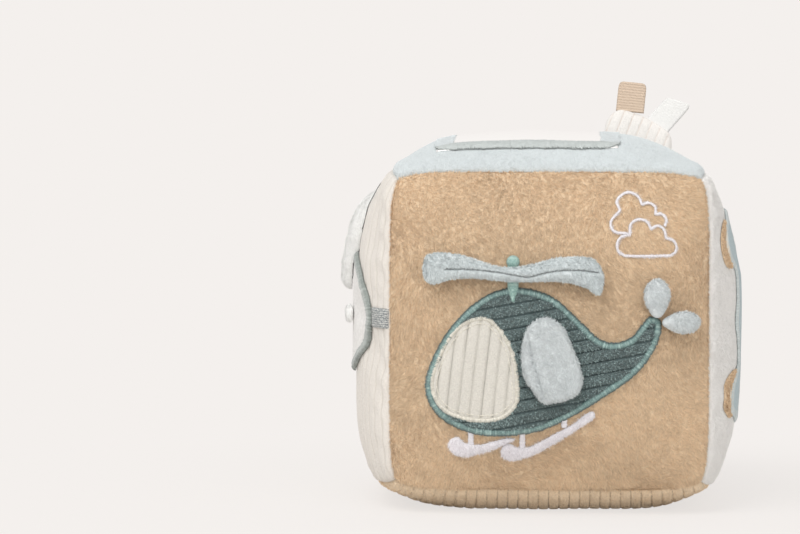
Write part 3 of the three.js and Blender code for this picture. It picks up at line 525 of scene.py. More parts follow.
# Colours on a screen of 0 to 255, and the shades of a pile's darker to lighter strands
PLAIN_TINTS = (0.92, 1, 1.06)
PLUSHES = {
    "tan": ((229, 203, 170), (0.86, 0.97, 1.06)),
    "blue": ((213, 219, 220), (0.97, 1, 1.02)),
    # A darker copy of the blue plush: painted shade on the mirror's front rim
    "frame_blue": ((197, 203, 201), PLAIN_TINTS),
    "pad_blue": ((217, 224, 225), (0.86, 1, 1.12)),
    "flap_blue": ((219, 224, 225), PLAIN_TINTS),
    "white": ((240, 238, 235), (0.97, 1, 1.02)),
    "wing_white": ((248, 248, 246), (0.98, 1, 1.02)),
}
NAPS = {
    "tan_nap": ((246, 225, 196), (0.9, 1, 1.06)),
    "teal_nap": ((132, 148, 147), (0.5, 0.95, 1.6)),
    "white_fuzz": ((246, 243, 246), PLAIN_TINTS),
}

# Corduroys: ridge colour, groove colour that is painted shade in the grooves, and how far the grain strays
# from the ridge's
CORDUROYS = {
    "cream_corduroy": ((229, 223, 215), (214, 207, 197), 0.05),
    "tab_corduroy": ((241, 237, 232), (230, 219, 210), 0.03),
    "tan_corduroy": ((234, 212, 182), (186, 164, 137), 0.08),
    "teal_corduroy": ((92, 108, 108), (36, 48, 50), 0.3),
    "window_corduroy": ((214, 210, 201), (192, 189, 180), 0.09),
}

# Satins: colour, lit strands, tint at the line's edges as painted shade that leaves a painted highlight along
# the bead's crown, roughness
NO_EDGE_SHADE = (255, 255, 255)
SATINS = {
    "mint_satin": ((118, 148, 145), (194, 220, 214), (112, 134, 136), 0.42),
    "mast_satin": ((140, 176, 168), (206, 228, 220), NO_EDGE_SHADE, 0.42),
    "grey_satin": ((184, 190, 186), (222, 227, 223), (196, 200, 198), 0.42),
    "cream_satin": ((222, 217, 203), (244, 240, 230), NO_EDGE_SHADE, 0.42),
    "white_satin": ((230, 226, 230), (248, 246, 250), NO_EDGE_SHADE, 0.42),
    "blue_satin": ((196, 206, 205), (226, 232, 231), NO_EDGE_SHADE, 0.42),
    "dark_thread": ((78, 76, 74), (128, 124, 118), NO_EDGE_SHADE, 0.7),
}

# Flat weaves: colour, distance between threads, roughness, relief, sheen, the axes in the cloth
WOVENS = {
    "label_satin": ((242, 241, 238), 0.3, 0.35, 0.03, 0.3, "XZ"),
    "tan_ribbon": ((222, 200, 178), 0.4, 0.8, 0.05, 0.1, "XZ"),
    "blue_cloth": ((190, 206, 210), 0.9, 0.8, 0.12, 0.1, "YZ"),
}
GREY_RIBBON = ((118, 124, 126), (204, 205, 202))
PLASTICS = {
    "crinkle_film": ((224, 224, 218), 0.35),
    "rattle_plastic": ((240, 239, 232), 0.4),
    "ball_plastic": ((201, 196, 184), 0.4),
}
FINISHES = {
    "crinkle_sheet": "crinkle_film", "rattle_shell_lower": "rattle_plastic",
    "rattle_shell_upper": "rattle_plastic", "rattle_ball_1": "ball_plastic",
    "rattle_ball_2": "ball_plastic", "rattle_ball_3": "ball_plastic",
}

# Studio: lamps with their place and side in metres and their power, then the floor and backdrop
LAMPS = (("key", (-0.7, -1.1, 1.7), 1.3, 23), ("fill", (0.7, -1.7, 0.35), 1.2, 8))
WORLD_COLOUR = (1, 0.99, 0.98, 1)
WORLD_STRENGTH = 0.66
BACKDROP_COLOUR = (244, 240, 237)
FLOOR_COLOUR = (236, 233, 230)
FLOOR_REACH = 6

# Distances in metres over which the floor turns into the even background, and its share at both
FLOOR_FADE = (0.1, 0.3, 0.8, 1)

# Camera and frame of the photograph
PHOTO_WIDTH = 800
PHOTO_HEIGHT = 534
SENSOR = 36
CAMERA_RANGE = 1500
CAMERA_CLIP = (0.05, 50)
CAMERA_ELEVATION_DEG = 4.2
PIXEL = 0.426
CUBE_PX = 549
CUBE_PY = 331

FACES = {
    "front": ((1, 0, 0), (0, 0, 1), (0, -1, 0)),
    "back": ((-1, 0, 0), (0, 0, 1), (0, 1, 0)),
    "left": ((0, -1, 0), (0, 0, 1), (-1, 0, 0)),
    "right": ((0, 1, 0), (0, 0, 1), (1, 0, 0)),
    "top": ((1, 0, 0), (0, 1, 0), (0, 0, 1)),
    "bottom": ((1, 0, 0), (0, -1, 0), (0, 0, -1)),
}


def linear(red, green, blue):
    """A screen colour of 0 to 255 in the linear shares that a shader holds."""
    shares = np.array([red, green, blue]) / 255
    return (*np.where(shares <= 0.04045, shares / 12.92, ((shares + 0.055) / 1.055) ** 2.4), 1)


# Form of the cube

def waves(points, wavelength, seed):
    """A smooth random field of about -1 to 1 over points, from sine waves of about one length."""
    rng = np.random.default_rng(seed)
    total = np.zeros(len(points))
    for _ in range(WAVE_COUNT):
        way = rng.normal(size=points.shape[1])
        way *= 2 * np.pi / (wavelength * rng.uniform(*WAVE_SPREAD) * np.linalg.norm(way))
        total += np.sin(points @ way + rng.uniform(0, 2 * np.pi))
    return total / math.sqrt(WAVE_COUNT)


def seam_reach(share):
    return SEAM_REACH - CORNER_PULL * np.abs(share) ** CORNER_POWER


def face_height(face, u, v):
    flatness = (1 - np.abs(u) ** CROWN_POWER) * (1 - np.abs(v) ** CROWN_POWER)
    bulge = CROWN_BULGE - {"bottom": 0, "right": SWELL_ROOM + RIGHT_TRIM}.get(face, SWELL_ROOM)
    height = SEAM_REACH + bulge * flatness - CORNER_PULL * np.abs(u * v) ** CORNER_POWER
    return np.minimum(height, CENTRE_Z) if face == "bottom" else height


def shares_at(right, up):
    """Shares of a panel at places given in millimetres from its middle."""
    u, v = right / SEAM_REACH, up / SEAM_REACH
    for _ in range(SURFACE_PASSES):
        u, v = right / seam_reach(v), up / seam_reach(u)
    return np.clip(u, -1, 1), np.clip(v, -1, 1)


def settled(points):
    """The cube's weight pushes the middles of its lower edges out, and its top hangs at the back."""
    x, y, z = points.T
    left = np.clip(-x / SEAM_REACH, 0, 1) ** 2
    right = np.clip(x / SEAM_REACH, 0, 1) ** 2
    low = np.clip((CENTRE_Z - z) / SEAM_REACH, 0, 1) ** 2
    middle = 1 - np.clip(np.abs(y) / SEAM_REACH, 0, 1) ** 2
    high = np.clip((z - CENTRE_Z) / SEAM_REACH, 0, 1) ** 2
    behind = np.clip((y - SAG_TOP_START) / (SEAM_REACH - SAG_TOP_START), 0, 1)
    moved = points.copy()
    moved[:, 0] += low * middle * (SAG_RIGHT * right - SAG_LEFT * left)
    moved[:, 2] -= SAG_TOP * high * np.sin(np.pi * behind) ** 2
    along = np.clip((y - SHOULDER_START) / (SEAM_REACH - SHOULDER_START), 0, 1)
    across = np.clip(x / SEAM_REACH, 0, 1) ** SHOULDER_POWER
    moved[:, 2] -= SHOULDER_FALL * high * across * np.sin(np.pi * along)
    lean = np.clip(1 - ((z - CENTRE_Z - RIGHT_LEAN_TOP) / RIGHT_LEAN_REACH) ** 2, 0, 1)
    moved[:, 0] -= RIGHT_LEAN * right * lean * middle
    return moved


def plain_form(face, u, v, dip):
    """Points of the plain form at shares u and v of a panel, drawn in by a dip."""
    right_way, up_way, out_way = (np.array(way, float) for way in FACES[face])
    points = np.outer(u * (seam_reach(v) - dip), right_way) + np.outer(v * (seam_reach(u) - dip), up_way)
    points += np.outer(face_height(face, u, v) - dip, out_way)
    points[:, 2] += CENTRE_Z
    return points


def face_ticks(columns, rows):
    u, v = np.meshgrid(*(np.linspace(-1, 1, count + 1) for count in (columns, rows)))
    return u.ravel(), v.ravel()


def blown_up():
    """Blows up the sewn cube with the cloth solver, and tells how far each panel swelled."""
    side = SWELL_CELLS + 1
    u, v = face_ticks(SWELL_CELLS, SWELL_CELLS)
    points = np.concatenate([plain_form(face, u, v, 0) for face in FACES])
    cells = grid_triangles(SWELL_CELLS, SWELL_CELLS)
    triangles = np.concatenate([cells + k * len(u) for k in range(len(FACES))])
    _, first, place = np.unique(np.round(points, 2), axis=0, return_index=True, return_inverse=True)
    place = place.ravel()
    sewn_points = points[first]
    start = sewn_points + SWELL_START * np.random.default_rng(START_SEED).normal(size=sewn_points.shape)
    bag = new_piece("sewn_bag", start, place[triangles], None)
    on_seam = np.tile(np.maximum(np.abs(u), np.abs(v)) > CLEAR_SHARE, len(FACES))
    bag.vertex_groups.new(name="seams").add([int(k) for k in np.unique(place[on_seam])], 1, "REPLACE")
    cloth = bag.modifiers.new("cloth", "CLOTH")
    settings = cloth.settings
    settings.use_pressure = True
    settings.uniform_pressure_force = SWELL_PRESSURE
    settings.effector_weights.gravity = 0
    settings.vertex_group_mass = "seams"
    settings.shrink_min = -SWELL_EXCESS
    settings.tension_stiffness = SWELL_STIFFNESS
    settings.compression_stiffness = SWELL_STIFFNESS
    settings.bending_stiffness = SWELL_BENDING
    cloth.collision_settings.use_collision = False
    cloth.point_cache.frame_end = SWELL_FRAMES
    for frame in range(1, SWELL_FRAMES + 1):
        bpy.context.scene.frame_set(frame)
    shape = bag.evaluated_get(bpy.context.evaluated_depsgraph_get()).to_mesh()
    blown = np.empty(len(start) * 3, np.float32)
    shape.vertices.foreach_get("co", blown)
    move = blown.reshape(-1, 3) / MM - sewn_points
    bpy.data.objects.remove(bag)
    bpy.context.scene.frame_set(1)
    tables = {}
    for face, part in zip(FACES, np.split(place, len(FACES))):
        out = np.clip(move[part] @ FACES[face][2], -SWELL_CAP, SWELL_CAP)
        tables[face] = out.reshape(side, side)
    return tables


def spline_weights(t):
    """What four grid points in a row weigh in a smooth curve, at a share of the middle cell."""
    return (
        (1 - t) ** 3 / 6,
        (3 * t ** 3 - 6 * t ** 2 + 4) / 6,
        (1 + 3 * t + 3 * t ** 2 - 3 * t ** 3) / 6,
        t ** 3 / 6,
    )


def swelling(face, u, v):
    """The simulated swelling between its grid points, as a smooth spline; the mirror holds it taut."""
    table = np.pad(swollen[face], 2, mode="edge")
    rows, columns = (v + 1) / 2 * SWELL_CELLS, (u + 1) / 2 * SWELL_CELLS
    i = np.clip(rows.astype(int), 0, SWELL_CELLS - 1)
    j = np.clip(columns.astype(int), 0, SWELL_CELLS - 1)
    total = np.zeros(len(u))
    for a, row_weight in enumerate(spline_weights(rows - i)):
        for b, column_weight in enumerate(spline_weights(columns - j)):
            total += row_weight * column_weight * table[i + a + 1, j + b + 1]
    if face == "top":
        half = MIRROR_SIDE / 2
        across, along = np.abs(u * SEAM_REACH - MIRROR_X), np.abs(v * SEAM_REACH - MIRROR_Y)
        taut = MIRROR_SWELL + MIRROR_CORNER_SWELL * (across ** 2 + along ** 2) / (2 * half ** 2)
        total = taut + (total - taut) * np.clip((np.maximum(across, along) - half) / MIRROR_CALM, 0, 1)
    return total


def surface(face, u, v, level):
    """Points over the cloth of a panel at shares u and v, raised by a level."""
    seam_gap = (1 - np.maximum(np.abs(u), np.abs(v))) * SEAM_REACH
    points = plain_form(face, u, v, SEAM_DIP * np.exp(-seam_gap / SEAM_DIP_WIDTH))
    fade = (1 - np.abs(u) ** LUMP_FADE_POWER) * (1 - np.abs(v) ** LUMP_FADE_POWER)
    lump = LUMP_HEIGHT * fade * waves(points, LUMP_LENGTH, LUMP_SEED)
    near = seam_gap / PUCKER_REACH
    pucker = PUCKER_HEIGHT * near * np.exp(1 - near) * waves(points, PUCKER_LENGTH, PUCKER_SEED)
    rise = level + lump + pucker + swelling(face, u, v) * np.clip(seam_gap / SWELL_HOLD, 0, 1)
    if face == "bottom":
        rise = level - np.abs(lump) - np.abs(pucker)
    return settled(points + np.outer(rise, FACES[face][2]))


def draped(face, places, level):
    """Points over a panel at places in millimetres from its middle."""
    u, v = shares_at(places[:, 0], places[:, 1])
    return surface(face, u, v, np.broadcast_to(level, len(places)))


# Flat outlines

def smooth_loop(shares, width, height, x=0, z=0):
    """A closed centripetal Catmull-Rom curve through shares of a width and a height."""
    points = np.array(shares, float) * (width, height) + (x, z)
    parts = []
    for k in range(len(points)):
        a, b, c, d = (points[(k + i) % len(points)] for i in (-1, 0, 1, 2))
        parts.append(spline_part(a, b, c, d))
    return np.concatenate(parts)


def smooth_line(points):
    """An open curve of the same kind."""
    points = np.array(points, float)
    ends = [2 * points[0] - points[1], *points, 2 * points[-1] - points[-2]]
    parts = [spline_part(*ends[k:k + 4]) for k in range(len(points) - 1)]
    return np.concatenate([*parts, points[-1:]])


def spline_part(a, b, c, d):
    knots = np.cumsum([0] + [max(math.dist(p, q) ** 0.5, TINY) for p, q in ((a, b), (b, c), (c, d))])
    steps = max(3, math.ceil(math.dist(b, c) / LOOP_STEP))
    t = np.linspace(knots[1], knots[2], steps, endpoint=False)[:, None]

    def between(p, q, start, end):
        return p + (q - p) * (t - start) / (end - start)

    ab, bc, cd = (between(p, q, knots[k], knots[k + 1]) for k, (p, q) in enumerate(((a, b), (b, c), (c, d))))
    abc = between(ab, bc, knots[0], knots[2])
    bcd = between(bc, cd, knots[1], knots[3])
    return between(abc, bcd, knots[1], knots[2])


def circle(radius, x, z):
    angles = np.linspace(0, 2 * np.pi, math.ceil(2 * np.pi * radius / LOOP_STEP), endpoint=False)
    return np.column_stack([x + radius * np.cos(angles), z + radius * np.sin(angles)])


def turned(places, degrees, x=0, z=0):
    turn = math.radians(degrees)
    across = places[:, 0] * math.cos(turn) - places[:, 1] * math.sin(turn)
    up = places[:, 0] * math.sin(turn) + places[:, 1] * math.cos(turn)
    return np.column_stack([across + x, up + z])


def left_turning(loop):
    after = np.roll(loop, -1, axis=0)
    area = np.sum(loop[:, 0] * after[:, 1] - after[:, 0] * loop[:, 1])
    return loop if area > 0 else loop[::-1]


def resampled(line, step, closed):
    ring = np.vstack([line, line[:1]]) if closed else line
    lengths = np.concatenate([[0], np.cumsum(np.linalg.norm(np.diff(ring, axis=0), axis=1))])
    count = max(3, round(lengths[-1] / step))
    along = np.linspace(0, lengths[-1], count, endpoint=not closed)
    return np.column_stack([np.interp(along, lengths, ring[:, k]) for k in (0, 1)])


def to_line(places, line, closed=True):
    """How far each place is from a line."""
    ends = np.roll(line, -1, axis=0) if closed else line[1:]
    starts = line if closed else line[:-1]
    ways = ends - starts
    square = np.maximum((ways ** 2).sum(axis=1), TINY ** 2)
    gaps = []
    for part in np.array_split(places, max(1, len(places) // CHUNK)):
        rel = part[:, None, :] - starts
        share = np.clip((rel * ways).sum(axis=2) / square, 0, 1)
        gaps.append(np.linalg.norm(rel - share[..., None] * ways, axis=2).min(axis=1))
    return np.concatenate(gaps)


def inside(places, loop):
    after = np.roll(loop, -1, axis=0)
    found = []
    for part in np.array_split(places, max(1, len(places) // CHUNK)):
        x, z = part[:, :1], part[:, 1:]
        spans = (loop[:, 1] > z) != (after[:, 1] > z)
        rise = np.where(after[:, 1] == loop[:, 1], TINY, after[:, 1] - loop[:, 1])
        crossing = loop[:, 0] + (z - loop[:, 1]) * (after[:, 0] - loop[:, 0]) / rise
        found.append((spans & (x < crossing)).sum(axis=1) % 2 == 1)
    return np.concatenate(found)


def moved(loop, distance):
    """A loop moved out by a distance, or in by a negative one, without points that cross over."""
    loop = left_turning(loop)
    way = np.roll(loop, -1, axis=0) - np.roll(loop, 1, axis=0)
    way /= np.linalg.norm(way, axis=1)[:, None]
    shifted = loop + distance * np.column_stack([way[:, 1], -way[:, 0]])
    return shifted[to_line(shifted, loop) > abs(distance) * CLEAR_SHARE]


def filled(loop, step, step_along=None, turn=0, holes=()):
    """Places and triangles that fill a loop round its holes, in rows turned by some degrees."""
    loops = [left_turning(loop), *holes]
    upright = turned(loops[0], -turn)
    low, high = upright.min(axis=0), upright.max(axis=0)
    columns = np.arange(low[0], high[0], step_along or step)
    rows = np.arange(low[1], high[1], step)
    grid = turned(np.stack(np.meshgrid(columns, rows), axis=-1).reshape(-1, 2), turn)
    near_edge = [moved(loops[0], -distance) for distance in CUT_DISTANCES]
    extra = np.concatenate([grid[to_line(grid, loops[0]) > CUT_DISTANCES[-1]], *near_edge])
    extra = extra[inside(extra, loops[0])]
    for hole in holes:
        extra = extra[~inside(extra, hole) & (to_line(extra, hole) > step / 2)]
    edges = []
    first = 0
    for ring in loops:
        edges += [(first + k, first + (k + 1) % len(ring)) for k in range(len(ring))]
        first += len(ring)
    vectors = [Vector(place) for place in np.concatenate([*loops, extra])]
    places, _, faces, *_ = delaunay_2d_cdt(vectors, edges, [], 0, TINY / 10)
    places = np.array([tuple(place) for place in places])
    triangles = np.array(faces)
    middles = places[triangles].mean(axis=1)
    keep = inside(middles, loops[0])
    for hole in holes:
        keep &= ~inside(middles, hole)
    return places, triangles[keep]


# Meshes

def new_mesh(name, points, triangles):
    mesh = bpy.data.meshes.new(name)
    mesh.vertices.add(len(points))
    mesh.vertices.foreach_set("co", (np.asarray(points) * MM).astype(np.float32).ravel())
    mesh.loops.add(triangles.size)
    mesh.loops.foreach_set("vertex_index", triangles.astype(np.int32).ravel())
    mesh.polygons.add(len(triangles))
    mesh.polygons.foreach_set("loop_start", np.arange(0, triangles.size, 3, dtype=np.int32))
    mesh.polygons.foreach_set("use_smooth", np.ones(len(triangles), bool))
    mesh.update(calc_edges=True)
    mesh.validate()
    return mesh


def new_piece(name, points, triangles, material, **fields):
    mesh = new_mesh(name, points, triangles)
    for field, values in fields.items():
        mesh.attributes.new(field, "FLOAT", "POINT").data.foreach_set("value", values.astype(np.float32))
    if material:
        mesh.materials.append(material)
    piece = bpy.data.objects.new(name, mesh)
    bpy.context.scene.collection.objects.link(piece)
    return piece


def riding(body):
    return lambda piece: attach(piece, body)


def sewn(piece, hold, slot, *nodes):
    """Holds a piece to its body and hides the frame's nodes that it stands for."""
    hold(piece)
    if nodes:
        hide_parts(*nodes)
    return piece


def rounded(gap, soft):
    """The rise of a rounded edge, from 0 to 1 over a soft distance."""
    return np.sqrt(1 - (1 - np.clip(gap / soft, 0, 1)) ** 2)


def with_underside(triangles, on_edge):
    """Adds a lower side, whose points follow the upper side's; both sides share the edge's points."""
    upper = np.arange(len(on_edge))
    below = np.where(on_edge, upper, upper + len(on_edge))
    return np.concatenate([triangles, below[triangles][:, ::-1]])


def grid_ring(columns, rows):
    """The outer points of a grid, in turning order."""
    row = columns + 1
    return np.concatenate([
        np.arange(row), np.arange(2, rows + 2) * row - 1, (rows + 1) * row - 2 - np.arange(columns),
        np.arange(rows - 1, 0, -1) * row])


def band(start, end, other_start, other_end):
    """Triangles between steps along one row of points and the same steps along another."""
    one = np.column_stack([start, other_start, other_end])
    other = np.column_stack([start, other_end, end])
    return np.concatenate([one, other])


def closed_band(ring, other):
    return band(ring, np.roll(ring, -1), other, np.roll(other, -1))


def grid_triangles(columns, rows):
    """Triangles of a grid whose points run along its rows."""
    k = (np.arange(rows)[:, None] * (columns + 1) + np.arange(columns)).ravel()
    one = np.column_stack([k, k + 1, k + columns + 2])
    other = np.column_stack([k, k + columns + 2, k + columns + 1])
    return np.concatenate([one, other])


def groove(across, places, pitch, power):
    """How far into the groove between two ridges each place lies, from 0 to 1."""
    wander = WALE_WANDER * waves(places, WALE_WANDER_LENGTH, WALE_SEED)
    share = (across + wander) / pitch % 1
    return np.abs(2 * share - 1) ** power


# Pile

def fur(name, hold, slot, points, triangles, tints, pile, nap=FRONT_NAP, keep=None):
    """Thin leaning fibres in tufts over the triangles, a piece for each tint."""
    seed = PILE_SEEDS[name]
    rng = np.random.default_rng(seed)
    a, b, c = points[triangles].transpose(1, 0, 2)
    cross = np.cross(b - a, c - a)
    area = np.linalg.norm(cross, axis=1) / 2
    tuft = pile["tuft"]
    count = round(area.sum() * pile["density"] / tuft * (1))
    pick = rng.choice(len(triangles), count, p=area / area.sum())
    share = np.sqrt(rng.random((count, 1)))
    other = rng.random((count, 1))
    roots = a[pick] * (1 - share) + share * (b[pick] * (1 - other) + c[pick] * other)
    normals = cross[pick] / (2 * area[pick, None])
    stretch = np.ones(count)
    if keep is not None:
        stretch = keep(roots)
        on = stretch > 0
        roots, normals, stretch = roots[on], normals[on], stretch[on]
        count = len(roots)
    swirl = np.column_stack([waves(roots, SWIRL_LENGTH, seed + k) for k in range(3)])
    clump = np.column_stack([waves(roots, CLUMP_LENGTH, seed + CLUMP_SEED + k) for k in range(3)])
    stray = pile["stray"] * rng.normal(size=(count, 3))
    lean_way = nap + pile["swirl"] * swirl + pile["clump"] * clump + stray
    lean_way -= normals * (lean_way * normals).sum(axis=1)[:, None]
    lean_way /= np.linalg.norm(lean_way, axis=1)[:, None]
    lean = np.radians(pile["lean"] + PILE_LEAN_SPREAD * rng.normal(size=(count, 1)))
    stalk = normals * np.cos(lean) + lean_way * np.sin(lean)
    side = np.cross(stalk, normals)
    side /= np.linalg.norm(side, axis=1)[:, None]
    reach = pile["length"] * stretch * (
        1 + REACH_CLUMP * clump[:, 0] + REACH_SPREAD * rng.normal(size=count))
    up = (roots[:, 2] - CENTRE_Z) / SEAM_REACH
    shade = CLUMP_SHADE * waves(roots, CLUMP_LENGTH * 2, seed + SHADE_SEED) + rng.normal(size=count)
    # Painted highlight: lighter strands go where the surface slopes away, at a pad's rims
    facing = normals.mean(axis=0)
    shade += pile["rim"] * (1 - np.abs(normals @ facing) / np.linalg.norm(facing))
    # Painted light: lighter strands towards the top and bottom of the panel
    painted_light_grade = pile["painted_light_grade"] * np.clip(np.abs(up) - LIGHT_GRADE_START, 0, 1)
    shade += PATCH * waves(roots, PATCH_LENGTH, seed + PATCH_SEED) + painted_light_grade
    roots, normals, stalk, side = (np.repeat(part, tuft, axis=0) for part in (roots, normals, stalk, side))
    reach, shade = (np.repeat(part, tuft) for part in (reach, shade))
    amount = len(roots)
    spread = TUFT_RADIUS * rng.normal(size=(amount, 3))
    spread -= normals * (spread * normals).sum(axis=1)[:, None]
    roots = roots + spread
    tips = roots + stalk * (reach * rng.uniform(*REACH_RANGE, amount))[:, None] - (1 - TUFT_TIP) * spread
    twist = np.radians(pile["twist"]) * rng.normal(size=(amount, 1))
    half = (side * np.cos(twist) + np.cross(stalk, side) * np.sin(twist)) * pile["width"] / 2
    corners = np.stack([roots - half, roots + half, tips], axis=1)
    facing = (np.cross(2 * half, stalk) * normals).sum(axis=1) > 0
    corners[~facing] = corners[~facing][:, [1, 0, 2]]
    order = np.argsort(shade + SHADE_SPREAD * rng.normal(size=amount))
    for k, part in enumerate(np.array_split(order, len(tints))):
        vertices = corners[part].reshape(-1, 3)
        strands = new_piece(f"{name}_{k + 1}", vertices, np.arange(len(vertices)).reshape(-1, 3), tints[k])
        sewn(strands, hold, slot)


def bare_field(face, loops):
    """Tells how long the pile is at points of a face: none under the sewn shapes, short beside them."""
    ticks = np.arange(-SEAM_REACH, SEAM_REACH + FIELD_STEP, FIELD_STEP)
    grid = np.stack(np.meshgrid(ticks, ticks), axis=-1).reshape(-1, 2)
    gap = np.full(len(grid), np.inf)
    for loop, is_filled in loops:
        distance = to_line(grid, loop, closed=is_filled)
        if is_filled:
            distance = np.where(inside(grid, loop), -distance, distance)
        gap = np.minimum(gap, distance)
    table = gap.reshape(len(ticks), len(ticks))
    right_way, up_way, _ = (np.array(way, float) for way in FACES[face])

    def stretch(points):
        centred = points - (0, 0, CENTRE_Z)
        columns = np.clip((centred @ right_way + SEAM_REACH) / FIELD_STEP, 0, len(ticks) - 2)
        rows = np.clip((centred @ up_way + SEAM_REACH) / FIELD_STEP, 0, len(ticks) - 2)
        i, j = rows.astype(int), columns.astype(int)
        s, t = rows - i, columns - j
        near = (table[i, j] * (1 - s) + table[i + 1, j] * s) * (1 - t)
        near += (table[i, j + 1] * (1 - s) + table[i + 1, j + 1] * s) * t
        length = BARE_EDGE_SHARE + (1 - BARE_EDGE_SHARE) * near / BARE_REACH
        return np.where(near < 0, 0, np.clip(length, 0, 1))

    return stretch


# Materials

def new_material(name, colour, roughness, **sockets):
    """A material and its main shader, with the values that are the same all over."""
    material = bpy.data.materials.new(name)
    material.use_nodes = True
    shader = material.node_tree.nodes["Principled BSDF"]
    shader.inputs["Base Color"].default_value = colour
    shader.inputs["Roughness"].default_value = roughness
    for socket, value in sockets.items():
        shader.inputs[socket.replace("_", " ")].default_value = value
    return material, shader


def add_node(holder, kind, **settings):
    """A new node in the tree of a material or of the world."""
    node = holder.node_tree.nodes.new(kind)
    for setting, value in settings.items():
        setattr(node, setting, value)
    return node


def link(holder, source, target):
    holder.node_tree.links.new(source, target)


def own_place(holder):
    return add_node(holder, "ShaderNodeTexCoord").outputs["Object"]


def noise(material, scale, detail=PLAIN_DETAIL):
    """A noise texture over the piece's own coordinates; the scale is features in a metre."""
    texture = add_node(material, "ShaderNodeTexNoise")
    texture.inputs["Scale"].default_value = scale
    texture.inputs["Detail"].default_value = detail
    link(material, own_place(material), texture.inputs["Vector"])
    return texture.outputs["Fac"]


def yarns(material, direction, scale, wander, **inputs):
    """Wavering bands across one axis of the piece; the scale is bands in a metre."""
    texture = add_node(material, "ShaderNodeTexWave", bands_direction=direction)
    for socket, value in {"Scale": scale, "Distortion": wander, **inputs}.items():
        texture.inputs[socket.replace("_", " ")].default_value = value
    link(material, own_place(material), texture.inputs["Vector"])
    return texture.outputs["Color"]


def ramp(material, factor, stops, colours):
    """A colour or grey ramp with a colour at each stop."""
    node = add_node(material, "ShaderNodeValToRGB")
    elements = node.color_ramp.elements
    while len(elements) < len(stops):
        elements.new(1)
    for element, place, colour in zip(elements, stops, colours):
        element.position = place
        element.color = colour
    link(material, factor, node.inputs["Fac"])
    return node.outputs["Color"]


def mix(material, factor, one, other, blend="MIX"):
    node = add_node(material, "ShaderNodeMix", data_type="RGBA", blend_type=blend)
    colours = [socket for socket in node.inputs if socket.type == "RGBA"]
    for value, socket in zip((factor, one, other), (node.inputs[0], *colours)):
        if isinstance(value, bpy.types.NodeSocket):
            link(material, value, socket)
        else:
            socket.default_value = value
    return next(socket for socket in node.outputs if socket.type == "RGBA")


def bump(material, shader, height, relief):
    """Lets a shader show a relief of some millimetres."""
    node = add_node(material, "ShaderNodeBump")
    node.inputs["Distance"].default_value = relief * MM
    node.inputs["Strength"].default_value = 1
    link(material, height, node.inputs["Height"])
    link(material, node.outputs["Normal"], shader.inputs["Normal"])


def field(material, name):
    return add_node(material, "ShaderNodeAttribute", attribute_name=name).outputs["Fac"]


def shaded(colour, share):
    """A colour made darker by a share below 1, or lighter by one over it."""
    return (*(min(1, part * share) for part in colour[:3]), 1)


def grey(share):
    return share, share, share, 1


def speckled(material, colour, grain, low, high=1, detail=PLAIN_DETAIL, stops=PLAIN_STOPS):
    """A colour in specks, from a lower to a higher share of it."""
    return ramp(material, noise(material, grain, detail), stops, (shaded(colour, low), shaded(colour, high)))


def plush_backing(name, colour):
    """The knitted ground that the pile stands on, darkened along a crease as painted shade."""
    material, shader = new_material(name, colour, PLUSH["roughness"], Sheen_Weight=PLUSH["sheen"])
    tone = speckled(material, colour, PLUSH["grain"], PLUSH["dark"])
    # Painted shade along the crease, where the piece's crease field is high
    seam = ramp(material, field(material, "crease"), PLUSH["crease_shade_stops"], (grey(0), grey(1)))
    both = mix(material, seam, tone, shaded(colour, PLUSH["crease_shade_dark"]))
    link(material, both, shader.inputs["Base Color"])
    bump(material, shader, noise(material, PLUSH["relief_grain"]), PLUSH["relief"])
    return material


def pile_tints(name, colour, shares):
    """Plain fibre colours, from the darker to the lighter strands."""
    tints = []
    for k, share in enumerate(shares):
        material, _ = new_material(
            f"{name}_{k + 1}", shaded(colour, share), FIBRE["roughness"], Sheen_Weight=FIBRE["sheen"])
        tints.append(material)
    return tints


def corduroy(name, colour, deep, speckle):
    """Cut ridges with painted shade in the grooves between them and a grain of tufts."""
    material, shader = new_material(name, colour, CORDUROY["roughness"], Sheen_Weight=CORDUROY["sheen"])
    grain = speckled(
        material, colour, CORDUROY["grain"], 1 - speckle, 1 + speckle, CORDUROY["detail"],
        CORDUROY["grain_stops"])
    cloudy = speckled(material, colour, CORDUROY["cloud_grain"], CORDUROY["cloud_dark"], 1 + speckle)
    tufts = mix(material, CORDUROY["cloud_share"], grain, cloudy)
    # Painted shade: the darker groove colour is mixed in down each groove
    groove_shade = ramp(material, field(material, "groove"), CORDUROY["groove_shade_stops"], (grey(0), grey(1)))
    link(material, mix(material, groove_shade, tufts, deep), shader.inputs["Base Color"])
    bump(material, shader, noise(material, CORDUROY["relief_grain"], CORDUROY["detail"]), CORDUROY["relief"])
    return material


def satin_stitch(name, colour, light, edge, roughness):
    """Close shiny threads across a sewn line, some lighter, with painted shade at the line's edges and a
    painted highlight on its crown.
    """
    material, shader = new_material(
        name, colour, roughness, Sheen_Weight=SATIN["sheen"], Anisotropic=SATIN["streak"])
    strands = ramp(
        material, noise(material, SATIN["grain"], SATIN["detail"]), SATIN["strand_stops"],
        (shaded(colour, SATIN["strand_dark"]), colour, light))
    threads = ramp(
        material, field(material, "thread"), SATIN["thread_stops"],
        (shaded(colour, SATIN["thread_dark"]), colour, light))
    both = mix(material, 1 / 2, strands, threads)
    # Painted shade: the edge tint darkens the bead's sides, leaving a painted highlight along its crown
    crown = ramp(material, field(material, "crown"), SATIN["edge_shade_stops"], (edge, grey(1)))
    link(material, mix(material, 1, both, crown, "MULTIPLY"), shader.inputs["Base Color"])
    bump(material, shader, noise(material, SATIN["relief_grain"], SATIN["detail"]), SATIN["relief"])
    return material


